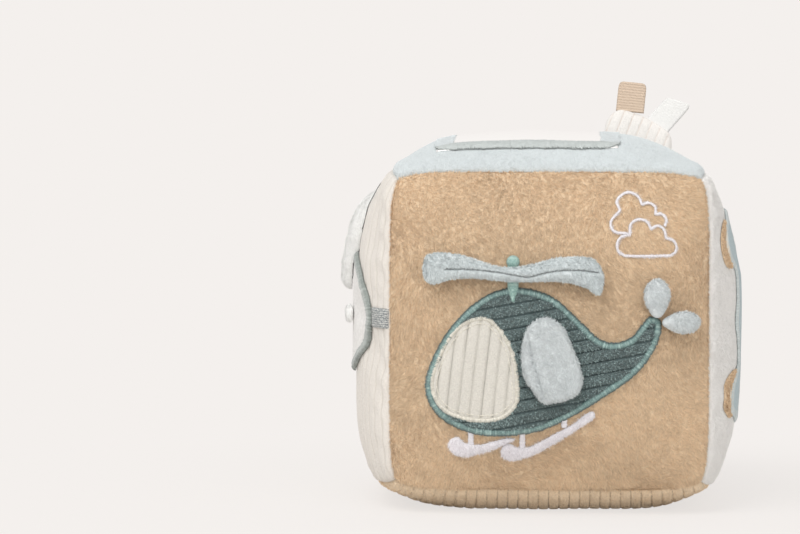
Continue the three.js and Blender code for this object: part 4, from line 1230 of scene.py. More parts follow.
def woven(name, colour, pitch, roughness, relief, sheen, ways):
    """A flat weave of crossing threads, which run along the two given axes."""
    material, shader = new_material(name, colour, roughness, Sheen_Weight=sheen)
    weave = mix(material, 1 / 2, *(yarns(material, way, 1 / (pitch * MM), WEAVE["wander"]) for way in ways))
    tone = ramp(
        material, weave, WEAVE["stops"], (shaded(colour, WEAVE["dark"]), shaded(colour, WEAVE["light"])))
    link(material, tone, shader.inputs["Base Color"])
    bump(material, shader, weave, relief)
    return material


def heathered(name, dark, light):
    """A tape of dark and light yarns in wavering rows."""
    material, shader = new_material(name, light, HEATHER["roughness"], Sheen_Weight=HEATHER["sheen"])
    rows = yarns(
        material, "Z", HEATHER["yarns"], HEATHER["wander"], Detail=HEATHER["detail"],
        Detail_Scale=HEATHER["detail_scale"])
    link(material, ramp(material, rows, HEATHER["stops"], (dark, light)), shader.inputs["Base Color"])
    bump(material, shader, rows, HEATHER["relief"])
    return material


def mirror_film():
    material, shader = new_material(
        "mirror_film", linear(*MIRROR["colour"]), MIRROR["roughness"], Metallic=MIRROR["metal"])
    smear = ramp(
        material, noise(material, MIRROR["smear_grain"]), MIRROR["smear_stops"],
        [grey(share) for share in MIRROR["smears"]])
    link(material, smear, shader.inputs["Roughness"])
    bump(material, shader, noise(material, MIRROR["relief_grain"]), MIRROR["relief"])
    return material


def moulded(name, colour, roughness):
    material, shader = new_material(name, colour, roughness)
    tone = speckled(material, colour, MOULDED["grain"], MOULDED["dark"])
    link(material, tone, shader.inputs["Base Color"])
    bump(material, shader, noise(material, MOULDED["relief_grain"]), MOULDED["relief"])
    return material


def fibre_fill():
    colour = linear(*FILLING["colour"])
    material, shader = new_material("fill", colour, FILLING["roughness"], Sheen_Weight=FILLING["sheen"])
    tone = speckled(material, colour, FILLING["grain"], FILLING["dark"], detail=FILLING["detail"])
    link(material, tone, shader.inputs["Base Color"])
    bump(material, shader, noise(material, FILLING["relief_grain"], FILLING["detail"]), FILLING["relief"])
    return material


def make_cloths():
    """Every finish by its name; a plush is its ground and the tints of its pile."""
    cloths = {"mirror": mirror_film(), "fill": fibre_fill()}
    for name, (colour, shares) in PLUSHES.items():
        stem = name.split("_")[0]
        tone = linear(*colour)
        cloths[name] = plush_backing(f"{stem}_backing", tone), pile_tints(f"{stem}_pile", tone, shares)
    for name, (colour, shares) in NAPS.items():
        cloths[name] = pile_tints(name, linear(*colour), shares)
    for name, (colour, deep, speckle) in CORDUROYS.items():
        cloths[name] = corduroy(name, linear(*colour), linear(*deep), speckle)
    for name, (colour, light, edge, roughness) in SATINS.items():
        cloths[name] = satin_stitch(name, linear(*colour), linear(*light), linear(*edge), roughness)
    for name, (colour, *weave) in WOVENS.items():
        cloths[name] = woven(name, linear(*colour), *weave)
    cloths["grey_ribbon"] = heathered("grey_ribbon", *(linear(*colour) for colour in GREY_RIBBON))
    for name, (colour, roughness) in PLASTICS.items():
        cloths[name] = moulded(name, linear(*colour), roughness)
    return cloths


# Parts of the cube

def make_panel(face, material, slot, columns, rows, wale=0, depth=SIDE_WALE_DEPTH):
    """One panel of cloth, with the seam allowance turned in behind its edge."""
    u, v = face_ticks(columns, rows)
    places = np.column_stack([u * seam_reach(v), v * seam_reach(u)])
    fields = {}
    level = np.zeros(len(u))
    if wale:
        fields["groove"] = groove(places[:, 0], places, wale, SIDE_WALE_POWER)
        level = -depth * fields["groove"]
    points = surface(face, u, v, level)
    triangles = grid_triangles(columns, rows)
    ring = grid_ring(columns, rows)
    centre = np.array([0, 0, CENTRE_Z])
    turned_in = points[ring] + SEAM_ALLOWANCE * (centre - points[ring]) / SEAM_REACH
    hem = closed_band(ring, len(points) + np.arange(len(ring)))
    if fields:
        fields["groove"] = np.concatenate([fields["groove"], fields["groove"][ring]])
    piece = new_piece(
        f"{face}_cloth", np.concatenate([points, turned_in]), np.concatenate([triangles, hem]), material,
        **fields)
    sewn(piece, riding("cube"), slot, f"{face}_panel")
    return points, triangles


def make_cloth(name, face, loop, material, slot, nodes, wale=None, holes=(), top=CLOTH_TOP, nap=None):
    """A sewn-on shape of cloth with its cut edge turned under, and the pile of its ridges."""
    if wale:
        pitch, turn = wale
        places, triangles = filled(loop, CLOTH_STEP, CLOTH_STEP_ALONG, turn, holes)
        across = turned(places, -turn)[:, 1]
        deep = groove(across, places, pitch, BODY_WALE_POWER)
    else:
        places, triangles = filled(loop, CUSHION_STEP, holes=holes)
        deep = np.zeros(len(places))
    rise = BORDER_BASE + (top - BORDER_BASE) * rounded(to_line(places, loop), CLOTH_SOFT)
    level = np.maximum(rise - BODY_WALE_DEPTH * deep, BORDER_BASE)
    points = draped(face, places, level)
    piece = new_piece(name, points, triangles, material, groove=deep)
    sewn(piece, riding("cube"), slot, *nodes)
    if nap:
        ridges = triangles[deep[triangles].max(axis=1) < RIDGE_SHARE]
        fur(f"{name}_pile", riding("cube"), slot, points, ridges, nap, CORD_PILE)


def stitches(name, face, line, width, rise, material, slot, nodes=(), closed=True, base=BORDER_BASE,
             dash=0, valley=0):
    """A satin-stitched bead along a line, each step of it one thread."""
    line = resampled(line, STITCH_STEP, closed)
    count = len(line)
    way = np.roll(line, -1, axis=0) - np.roll(line, 1, axis=0)
    if not closed:
        way[0], way[-1] = line[1] - line[0], line[-1] - line[-2]
    way /= np.linalg.norm(way, axis=1)[:, None]
    side = np.column_stack([way[:, 1], -way[:, 0]])
    rng = np.random.default_rng(STITCH_SEED)
    spread = 1 + STITCH_SPREAD * rng.normal(size=count)
    every_other = np.where(np.arange(count) % 2, 1, -1)
    lift = 1 + STITCH_LIFT * every_other + STITCH_LIFT_SPREAD * rng.normal(size=count)
    if dash:
        lift *= np.arange(count) % dash < dash * DASH_SHARE
    angles = np.linspace(np.pi, 0, SECTION_STEPS)
    across = np.cos(angles) * width / 2
    section = np.sin(angles) ** SECTION_POWER * (1 - valley * np.exp(-(np.cos(angles) / VALLEY_WIDTH) ** 2))
    places = line[:, None, :] + side[:, None, :] * (across * spread[:, None])[..., None]
    level = base(line)[:, None] if callable(base) else base
    height = rise(line)[:, None] if callable(rise) else rise
    level = level + height * section * lift[:, None]
    points = draped(face, places.reshape(-1, 2), level.ravel())
    rows = count if closed else count - 1
    k = np.arange(rows)[:, None]
    j = np.arange(SECTION_STEPS)
    here, next_row, next_j = k * SECTION_STEPS, (k + 1) % count * SECTION_STEPS, (j + 1) % SECTION_STEPS
    a, b, c, d = here + j, here + next_j, next_row + next_j, next_row + j
    quads = np.stack([a, b, c, d], axis=-1).reshape(-1, 4)
    triangles = np.concatenate([quads[:, [0, 2, 1]], quads[:, [0, 3, 2]]])
    if not closed:
        fan = np.arange(1, SECTION_STEPS - 1)
        last = (count - 1) * SECTION_STEPS
        triangles = np.concatenate([
            triangles, np.column_stack([np.zeros_like(fan), fan, fan + 1]),
            np.column_stack([np.full_like(fan, last), last + fan + 1, last + fan])])
    fields = {
        "thread": np.repeat(rng.random(count), SECTION_STEPS),
        "crown": np.tile(np.sin(angles), count),
    }
    piece = new_piece(name, points, triangles, material, **fields)
    return sewn(piece, riding("cube"), slot, *nodes)


def threaded(across):
    """A random share for each thread of a satin filling, by the place across its threads."""
    shares = np.random.default_rng(THREAD_SEED).random(THREAD_SHADES)
    return shares[np.floor(across / STITCH_STEP).astype(int) % len(shares)]


def raised(face, loop, base, thickness, soft, step=CUSHION_STEP, crease=None, crease_depth=CREASE_DEPTH,
           rim=None, plump=None, edge=PAD_EDGE_SHARE):
    """Points and triangles of a stuffed shape that lies on a panel."""
    places, triangles = filled(loop, step)
    gap = to_line(places, loop if rim is None else rim)
    swell = rounded(gap, soft)
    crown = 1 - CROWN_RISE_SHARE + CROWN_RISE_SHARE * np.clip(gap / gap.max(), 0, 1)
    if plump:
        crown = crown * plump(places)
    base = base(places) if callable(base) else base
    uneven = UNEVEN_HEIGHT * waves(places, UNEVEN_LENGTH, UNEVEN_SEED) * swell
    top = base + thickness * (edge + (1 - edge) * swell * crown) + uneven
    if crease is not None:
        top -= crease_depth * np.exp(-(to_line(places, crease, closed=False) / CREASE_WIDTH) ** 2) * swell
    bottom = base + thickness * edge * (1 - swell)
    points = np.concatenate([draped(face, places, top), draped(face, places, bottom)])
    return points, with_underside(triangles, to_line(places, loop) < TINY)


def satin_shape(name, face, loop, base, thickness, soft, material, slot, nodes=(), step=CUSHION_STEP, axis=0):
    """A low shape filled with satin stitches, whose threads lie side by side along one axis."""
    points, triangles = raised(face, loop, base, thickness, soft, step=step)
    piece = new_piece(name, points, triangles, material, thread=threaded(points[:, axis]))
    sewn(piece, riding("cube"), slot, *nodes)
    return points, triangles


def make_cushion(name, face, loop, base, thickness, soft, cloth, hold, slot, nodes, keep=None,
                 paint_crease_shade=False, pile=PAD_PILE, **shape):
    """A stuffed plush shape with its pile."""
    points, triangles = raised(face, loop, base, thickness, soft, **shape)
    backing, tints = cloth
    dark = np.zeros(len(points))
    # Painted shade: the crease field that darkens the backing along the crease line
    if paint_crease_shade:
        flat = points[:, [0, 2]] - (0, CENTRE_Z)
        dark = np.exp(-(to_line(flat, shape["crease"], closed=False) / CREASE_WIDTH) ** 2)
    piece = new_piece(name, points, triangles, backing, crease=dark)
    sewn(piece, hold, slot, *nodes)
    out_way = np.array(FACES[face][2], float)
    corners = points[triangles]
    cross = np.cross(corners[:, 1] - corners[:, 0], corners[:, 2] - corners[:, 0])
    outer = (cross * out_way).sum(axis=1) > OUTER_SLOPE * np.linalg.norm(cross, axis=1)
    fur(f"{name}_pile", hold, slot, points, triangles[outer], tints, pile, keep=keep)


def make_helicopter(cloths):
    body = left_turning(smooth_loop(
        FUSELAGE_SHARES, FUSELAGE_WIDTH, FUSELAGE_HEIGHT, FUSELAGE_X, FUSELAGE_Z))
    glass = left_turning(smooth_loop(WINDOW_SHARES, WINDOW_WIDTH, WINDOW_HEIGHT, WINDOW_X, WINDOW_Z))
    hem = moved(body, -FUSELAGE_BORDER / 2)
    make_cloth(
        "fuselage_cloth", "front", hem, cloths["teal_corduroy"], "teal_corduroy",
        ["fuselage"], (BODY_WALE, FUSELAGE_WALE_TURN), holes=[moved(glass, CLOTH_SPACE - WINDOW_BORDER / 2)],
        nap=cloths["teal_nap"])
    make_cloth(
        "window_cloth", "front", moved(glass, -CLOTH_SPACE - WINDOW_BORDER / 2), cloths["window_corduroy"],
        "cream_corduroy", ["cockpit_window"], (WINDOW_WALE, WINDOW_WALE_TURN))
    stitches(
        "window_stitch_row", "front", moved(glass, -WINDOW_STITCH_INSET), WINDOW_STITCH, WINDOW_STITCH_RISE,
        cloths["cream_satin"], "cream_satin", base=CLOTH_TOP - BORDER_BASE, dash=WINDOW_STITCH_STEPS)
    stitches(
        "fuselage_stitching", "front", hem, FUSELAGE_BORDER, BORDER_HEIGHT, cloths["mint_satin"],
        "mint_satin", ["fuselage_border"])
    stitches(
        "window_stitching", "front", moved(glass, -WINDOW_BORDER / 2), WINDOW_BORDER, BORDER_HEIGHT,
        cloths["cream_satin"], "cream_satin", ["cockpit_border"])
    return body


def make_mast(cloths):
    knob_z = ROTOR_Z + MAST_KNOB_RISE - MAST_KNOB_WIDTH / 2
    foot = ROTOR_Z - MAST_FOOT
    stem = np.array([
        (ROTOR_X - MAST_WIDTH / 2, ROTOR_Z + MAST_KNOB_RISE / 2),
        (ROTOR_X - MAST_WIDTH / 2, ROTOR_Z - MAST_FOOT / 2),
        (ROTOR_X - MAST_TIP_WIDTH / 2, foot),
        (ROTOR_X + MAST_TIP_WIDTH / 2, foot),
        (ROTOR_X + MAST_WIDTH / 2, ROTOR_Z - MAST_FOOT / 2),
        (ROTOR_X + MAST_WIDTH / 2, ROTOR_Z + MAST_KNOB_RISE / 2),
    ])
    for name, loop, nodes in (
            ("mast_stem", resampled(stem, LOOP_STEP, True), ["rotor_mast"]),
            ("mast_knob", circle(MAST_KNOB_WIDTH / 2, ROTOR_X, knob_z), [])):
        satin_shape(
            name, "front", loop, BORDER_BASE, BORDER_HEIGHT + MAST_LIFT, MAST_KNOB_WIDTH / 2,
            cloths["mast_satin"], "mint_satin", nodes, step=LOOP_STEP / 2, axis=2)


def make_flap(cloths):
    upright = smooth_loop(FLAP_SHARES, FLAP_WIDTH, FLAP_HEIGHT)
    loop = left_turning(turned(upright, FLAP_TILT_DEG, FLAP_X, FLAP_Z))
    fold = smooth_line(np.array(FLAP_FOLD_SHARES) * (FLAP_WIDTH, FLAP_HEIGHT))
    crease = turned(fold, FLAP_TILT_DEG, FLAP_X, FLAP_Z)
    make_cushion(
        "door_pad", "front", loop, PAD_BASE, FLAP_THICKNESS, FLAP_THICKNESS / 2, cloths["flap_blue"],
        riding("door"), "pale_blue_plush", ["door_flap"], crease=crease, crease_depth=FLAP_FOLD_DEPTH)


def half_of(loop, x, sign):
    """The part of a loop on one side of an upright line, closed along that line."""
    side = (loop[:, 0] - x) * sign > 0
    start = np.flatnonzero(side & ~np.roll(side, 1))[0]
    part = np.roll(loop, -start, axis=0)[:side.sum()]
    cut = np.column_stack([
        np.full(ROTOR_CUT_STEPS, x), np.linspace(part[-1, 1], part[0, 1], ROTOR_CUT_STEPS)])
    return np.concatenate([part, cut])


def make_rotor(cloths):
    root = ROTOR_CENTRE_WIDTH / 2
    reach = BLADE_LENGTH + root
    depth = -(face_height("front", np.zeros(1), np.zeros(1))[0] + PAD_BASE)
    shares = [(x * BLADE_LENGTH / reach + math.copysign(root / reach, x) if x else 0, z)
              for x, z in LEFT_BLADE_SHARES[:-2] + RIGHT_BLADE_SHARES[:-2]]
    whole = left_turning(smooth_loop(shares, reach, BLADE_HEIGHT, ROTOR_X, ROTOR_Z))
    crease = smooth_line(np.array(CREASE_SHARES) * (reach, BLADE_HEIGHT) + (ROTOR_X, ROTOR_Z))

    def keep(roots):
        flat = roots[:, [0, 2]] - (0, CENTRE_Z)
        return np.clip(to_line(flat, crease, closed=False) - CREASE_BARE, 0, 1)

    halves = (
        ("left", -1, ["rotor_blade_left", "rotor_centre"]),
        ("right", 1, ["rotor_blade_right"]),
    )
    for side, sign, nodes in halves:
        start = Vector((ROTOR_X + sign * root / 2, depth, CENTRE_Z + ROTOR_Z)) * MM
        end = Vector((ROTOR_X + sign * (root / 2 + ROTOR_BEND), depth, CENTRE_Z + ROTOR_Z)) * MM

        def hold(piece, side=side, start=start, end=end):
            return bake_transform(piece)

        make_cushion(
            f"rotor_{side}", "front", half_of(whole, ROTOR_X, sign), PAD_BASE, BLADE_THICKNESS,
            BLADE_THICKNESS / 2, cloths["pad_blue"], hold, "pale_blue_plush", nodes, keep=keep,
            crease=crease, rim=whole, step=CLOTH_STEP, paint_crease_shade=True)


def make_tail_rotor(cloths):
    def keep(roots):
        away = roots[:, [0, 2]] - (LOBE_ROOT_X, CENTRE_Z + LOBE_ROOT_Z)
        return np.clip(np.linalg.norm(away, axis=1) / LOBE_SHORT - LOBE_BARE, 0, 1)

    for k, side in enumerate(("upper", "lower")):
        lobe = smooth_loop(LOBE_SHARES, LOBE_LENGTH, LOBE_WIDTHS[k], LOBE_ROOT_OFFSET, 0)
        loop = left_turning(turned(lobe, LOBE_ANGLES_DEG[k], LOBE_ROOT_X, LOBE_ROOT_Z))
        make_cushion(
            f"tail_{side}", "front", loop, PAD_BASE, LOBE_THICKNESS, LOBE_THICKNESS / 2, cloths["flap_blue"],
            riding(f"lobe_{side}"), "pale_blue_plush", [f"tail_lobe_{side}"], keep=keep)


def make_skids(cloths, bare):
    floor = FUSELAGE_Z - FUSELAGE_HEIGHT / 2
    skids = (
        ("left", LEFT_SKID_SHARES, LEFT_SKID_WIDTH, LEFT_SKID_HEIGHT, LEFT_SKID_X, floor - SKID_DROP,
         LEFT_STRUT_SHARES),
        ("right", RIGHT_SKID_SHARES, RIGHT_SKID_WIDTH, RIGHT_SKID_HEIGHT, RIGHT_SKID_X, floor,
         RIGHT_STRUT_SHARES),
    )
    for side, shares, width, height, x, z, struts in skids:
        loop = left_turning(smooth_loop(shares, width, height, x, z))
        points, triangles = satin_shape(
            f"skid_{side}_stitching", "front", loop, BORDER_BASE, SKID_RISE, SKID_ROUND,
            cloths["white_satin"], "white_satin", [f"skid_{side}"], step=LOOP_STEP / 2)
        fur(
            f"skid_{side}_fuzz", riding("cube"), "white_satin", points, triangles, cloths["white_fuzz"],
            FUZZ_PILE)
        for k, share in enumerate(struts):
            foot = np.array([x + share * width, z + share * height])
            line = np.linspace(foot, foot + (0, height / 2 + SKID_DROP), STRUT_POINTS)
            stitches(
                f"strut_{side}_{k + 1}", "front", line, STRUT_WIDTH, SKID_RISE / 2, cloths["white_satin"],
                "white_satin", closed=False)
            bare.append((line, False))


def make_clouds(cloths, bare):
    clouds = (
        ("upper", UPPER_CLOUD_BUMPS, UPPER_CLOUD, False),
        ("lower", LOWER_CLOUD_BUMPS, LOWER_CLOUD, True),
    )
    for side, bumps, (width, height, x, z), closed in clouds:
        line = np.concatenate([smooth_line(np.array(bump) * (width, height))[:-1] for bump in bumps]) + (x, z)
        outline = stitches(
            f"cloud_{side}_stitching", "front", line, CLOUD_LINE, CLOUD_RISE, cloths["white_satin"],
            "white_satin", [f"cloud_{side}"], closed=closed)
        fur(
            f"cloud_{side}_fuzz", riding("cube"), "white_satin", *as_arrays(outline), cloths["white_fuzz"],
            FUZZ_PILE)
        bare.append((line, False))


def make_front(cloths):
    points, triangles = make_panel("front", cloths["tan"][0], "tan_plush", PANEL_STEPS, PANEL_STEPS)
    body = make_helicopter(cloths)
    bare = [(body, True)]
    make_mast(cloths)
    make_flap(cloths)
    make_rotor(cloths)
    make_tail_rotor(cloths)
    make_skids(cloths, bare)
    make_clouds(cloths, bare)
    fur(
        "front_pile", riding("cube"), "tan_plush", points, triangles, cloths["tan"][1], PANEL_PILE,
        keep=bare_field("front", bare))


def make_plane(cloths):
    centre = PLANE_NOSE - PLANE_LENGTH / 2
    body = left_turning(smooth_loop(PLANE_SHARES, PLANE_LENGTH, PLANE_HEIGHT, centre, PLANE_Z))
    hem = moved(body, -PLANE_BORDER / 2)
    make_cloth("plane_cloth", "left", hem, cloths["white"][0], "white_plush", ["plane_body"])
    stitches(
        "plane_stitching", "left", hem, PLANE_BORDER, BORDER_HEIGHT, cloths["grey_satin"], "mint_satin",
        ["plane_border"], valley=PLANE_VALLEY)
    knob = circle(KNOB_RADIUS, PLANE_NOSE - KNOB_FROM_NOSE, PLANE_Z)
    make_cushion(
        "plane_button", "left", knob, CLOTH_TOP + BORDER_BASE, KNOB_RISE, KNOB_RISE / 2,
        cloths["wing_white"], riding("cube"), "white_plush", ["plane_knob"], pile=SMOOTH_PILE)
    wing = turned(
        smooth_loop(LOBE_SHARES, WING_LENGTH, WING_WIDTH), WING_ANGLE_DEG, PLANE_NOSE - WING_FROM_NOSE,
        WING_ROOT_Z)

    def base(places):
        drop = np.clip((places[:, 1] - WING_ROOT_Z - WING_DROP[0]) / (WING_DROP[1] - WING_DROP[0]), 0, 1)
        return PAD_BASE + (WING_TIP_BASE - PAD_BASE) * drop ** 2 * (3 - 2 * drop)

    def plump(places):
        swell = np.interp(places[:, 1] - WING_ROOT_Z, (0, WING_LENGTH), (WING_ROOT_SWELL, WING_TIP_SWELL))
        return swell * (WING_TOP - base(places)) / (WING_TOP - PAD_BASE)

    make_cushion(
        "plane_wing_pad", "left", left_turning(wing), base, WING_TOP - PAD_BASE, WING_SOFT,
        cloths["wing_white"], riding("wing"), "white_plush", ["plane_wing"], pile=SMOOTH_PILE, plump=plump,
        edge=WING_EDGE_SHARE)
    start, end = PLANE_NOSE + BORDER_BASE, SEAM_REACH - BORDER_BASE
    low, high = PLANE_Z - PLANE_RIBBON_WIDTH / 2, PLANE_Z + PLANE_RIBBON_WIDTH / 2
    strip = np.array([(start, low), (end, low), (end, high), (start, high)])
    make_cloth(
        "plane_tape", "left", resampled(strip, LOOP_STEP, True), cloths["grey_ribbon"], "grey_ribbon",
        ["plane_ribbon"], top=PLANE_RIBBON_CLOTH)
    path = smooth_line(np.array(THREAD_SHARES) * SEAM_REACH)
    stitches(
        "thread", "left", path, THREAD_WIDTH, THREAD_RISE, cloths["dark_thread"], "dark_thread",
        ["thread_line"], closed=False)


def on_car(loop):
    """The car's own axes, laid on their side on the panel and a little askew."""
    loop = turned(loop, CAR_TURN)
    return left_turning(np.column_stack([CAR_SILL + loop[:, 1], CAR_MIDDLE - loop[:, 0]]))


def with_fenders(loop, axle):
    """A car's outline whose sill comes down over the upper part of both wheels."""
    loop = loop.copy()
    reach = FENDER_RADIUS ** 2 - (np.abs(loop[:, 0]) - axle) ** 2
    drop = np.sqrt(np.clip(reach, 0, None)) - (FENDER_RADIUS - FENDER_DROP)
    loop[:, 1] -= np.clip(drop, 0, None) * np.clip(1 - loop[:, 1] / FENDER_FADE, 0, 1)
    return resampled(loop, LOOP_STEP, True)


def make_car(cloths):
    axle = CAR_LENGTH * WHEEL_SPACING_SHARE / 2
    body = on_car(with_fenders(smooth_loop(CAR_SHARES, CAR_LENGTH, CAR_HEIGHT), axle))
    glass = on_car(smooth_loop(
        CAR_WINDOW_SHARES, CAR_LENGTH * CAR_WINDOW_WIDTH_SHARE, CAR_HEIGHT * CAR_WINDOW_HEIGHT_SHARE, 0,
        CAR_HEIGHT * CAR_WINDOW_RISE_SHARE))
    hem = moved(body, -CAR_BORDER / 2)
    make_cloth(
        "car_cloth", "right", hem, cloths["blue_cloth"], "blue_cloth", ["car_body"],
        holes=[moved(glass, -CLOTH_SPACE)], top=CAR_RISE)
    make_cloth("car_glass", "right", glass, cloths["white"][0], "white_plush", ["car_window"], top=CAR_RISE)
    stitches(
        "car_stitching", "right", hem, CAR_BORDER, CAR_RISE, cloths["blue_satin"], "blue_cloth",
        ["car_border"])
    loops = [body]
    for side, sign in (("upper", -1), ("lower", 1)):
        wheel = half_of(on_car(circle(WHEEL_RADIUS, sign * axle, -WHEEL_DROP)), CAR_SILL - CLOTH_SPACE, -1)
        hub = half_of(on_car(circle(HUB_RADIUS, sign * axle, -WHEEL_DROP)), CAR_SILL - FENDER_DROP, -1)
        loops.append(wheel)
        make_cushion(
            f"wheel_{side}", "right", wheel, WHEEL_BASE, WHEEL_THICKNESS, WHEEL_THICKNESS / 2, cloths["tan"],
            riding("cube"), "tan_plush", [f"car_wheel_{side}"], pile=CORD_PILE,
            keep=bare_field("right", [(body, True)]))
        satin_shape(
            f"hub_{side}", "right", hub, WHEEL_BASE + WHEEL_THICKNESS, HUB_RISE, HUB_RISE,
            cloths["cream_satin"], "cream_satin")
    return loops


def make_sides(cloths):
    make_panel("left", cloths["cream_corduroy"], "cream_corduroy", WALE_STEPS, ALONG_STEPS, LEFT_WALE)
    make_plane(cloths)
    points, triangles = make_panel(
        "bottom", cloths["tan_corduroy"], "tan_corduroy", WALE_STEPS, ALONG_STEPS, BOTTOM_WALE,
        BOTTOM_WALE_DEPTH)
    middles = points[triangles].mean(axis=1)
    ridge = groove(middles[:, 0], middles[:, :2], BOTTOM_WALE, SIDE_WALE_POWER) < RIDGE_SHARE
    ridge &= middles[:, 2] > BOTTOM_BARE
    fur(
        "bottom_pile", riding("cube"), "tan_corduroy", points, triangles[ridge], cloths["tan_nap"],
        RIDGE_PILE, nap=BOTTOM_NAP)
    points, triangles = make_panel("right", cloths["white"][0], "white_plush", PANEL_STEPS, PANEL_STEPS)
    loops = make_car(cloths)
    fur(
        "right_pile", riding("cube"), "white_plush", points, triangles, cloths["white"][1], SMOOTH_PILE,
        nap=SIDE_NAP, keep=bare_field("right", [(loop, True) for loop in loops]))
    points, triangles = make_panel("back", cloths["blue"][0], "pale_blue_plush", PANEL_STEPS, PANEL_STEPS)
    fur("back_pile", riding("cube"), "pale_blue_plush", points, triangles, cloths["blue"][1], SMOOTH_PILE)


def rounded_square(side, corner, x, y):
    half = side / 2 - corner
    quarter = np.linspace(0, np.pi / 2, math.ceil(corner * np.pi / 2 / LOOP_STEP))
    arc = corner * np.column_stack([np.cos(quarter), np.sin(quarter)])
    corners = [turned(arc + (half, half), 90 * k) for k in range(4)]
    return resampled(np.concatenate(corners), LOOP_STEP, True) + (x, y)


def make_top(cloths):
    points, triangles = make_panel("top", cloths["blue"][0], "pale_blue_plush", PANEL_STEPS, PANEL_STEPS)
    half = MIRROR_SIDE / 2
    ticks = np.linspace(-half, half, MIRROR_STEPS + 1)
    places = np.stack(np.meshgrid(ticks, ticks), axis=-1).reshape(-1, 2) + (MIRROR_X, MIRROR_Y)
    cells = grid_triangles(MIRROR_STEPS, MIRROR_STEPS)
    upper = draped("top", places, MIRROR_BASE + MIRROR_SHEET)
    lower = draped("top", places, MIRROR_BASE)
    ring = grid_ring(MIRROR_STEPS, MIRROR_STEPS)
    rim = closed_band(ring, ring + len(places))
    sheet = new_piece(
        "mirror", np.concatenate([upper, lower]),
        np.concatenate([cells, cells[:, ::-1] + len(places), rim]), cloths["mirror"])
    sewn(sheet, riding("cube"), "mirror_foil", "mirror_sheet")
    outer = rounded_square(MIRROR_SIDE + 2 * FRAME_OVERHANG, FRAME_CORNER, MIRROR_X, MIRROR_Y)
    line = left_turning(moved(outer, -FRAME_WIDTH / 2))

    def rise(places):
        along = (-half, FRAME_FALL - half, half)
        return FRAME_RISE * np.interp(places[:, 1] - MIRROR_Y, along, FRAME_RISE_SHARES)

    front_end = MIRROR_Y - half + FRAME_FALL
    first = np.argmin(np.abs(line[:, 1] - front_end) + (line[:, 0] > MIRROR_X) * MIRROR_SIDE)
    line = np.roll(line, -first, axis=0)
    at_front = (line[:, 1] < front_end).sum() + 1
    other_sides = [f"mirror_frame_{side}" for side in ("right", "back", "left")]
    parts = (
        # The front rim takes the darker copy of the blue as painted shade; the other sides take the plain
        # blue
        ("mirror_rim", line[:at_front], "frame_blue", ["mirror_frame_front"], RIM_NAP),
        ("mirror_sides", line[at_front - 1:], "blue", other_sides, TOP_NAP),
    )
    for name, part, colour, nodes, nap in parts:
        tube = stitches(
            name, "top", part, FRAME_WIDTH, rise, cloths[colour][0], "pale_blue_plush", nodes,
            base=FRAME_BASE, closed=False)
        tube_points, tube_triangles = as_arrays(tube)
        corners = tube_points[tube_triangles]
        up = np.cross(corners[:, 1] - corners[:, 0], corners[:, 2] - corners[:, 0])[:, 2] > 0
        fur(
            f"{name}_pile", riding("cube"), "pale_blue_plush", tube_points, tube_triangles[up],
            cloths[colour][1], SMOOTH_PILE, nap=nap)
    fur(
        "top_pile", riding("cube"), "pale_blue_plush", points, triangles, cloths["blue"][1], SMOOTH_PILE,
        nap=TOP_NAP, keep=bare_field("top", [(outer, True)]))


def as_arrays(piece):
    points = np.empty(len(piece.data.vertices) * 3, np.float32)
    piece.data.vertices.foreach_get("co", points)
    corners = np.empty(len(piece.data.polygons) * 3, np.int32)
    piece.data.polygons.foreach_get("vertices", corners)
    return points.reshape(-1, 3).astype(float) / MM, corners.reshape(-1, 3)


def on_tab(places, out):
    """Points in the tab's own plane, and out of it towards the front."""
    lean = math.radians(TAB_LEAN_DEG)
    up_way = np.array([0, math.sin(lean), math.cos(lean)])
    out_way = np.array([0, -math.cos(lean), math.sin(lean)])
    points = np.array(TAB_PLACE) + np.outer(places[:, 0], (1, 0, 0)) + np.outer(places[:, 1], up_way)
    return points + np.outer(out, out_way)


def make_tab(cloths):
    loop = left_turning(smooth_loop(TAB_SHARES, TAB_WIDTH, TAB_HEIGHT))
    places, triangles = filled(loop, CLOTH_STEP, CUSHION_STEP, TAB_WALE_TURN)
    gap = to_line(places, loop)
    swell = rounded(gap, TAB_THICKNESS)
    deep = groove(turned(places, -TAB_WALE_TURN)[:, 1], places, TAB_WALE, SIDE_WALE_POWER)
    out = (TAB_THICKNESS / 2 - TAB_WALE_DEPTH * deep) * swell
    points = np.concatenate([on_tab(places, out), on_tab(places, -out)])
    piece = new_piece(
        "tab_pad", points, with_underside(triangles, gap < TINY), cloths["tab_corduroy"],
        groove=np.concatenate([deep, deep]))
    sewn(piece, riding("tab"), "cream_corduroy", "corduroy_tab")


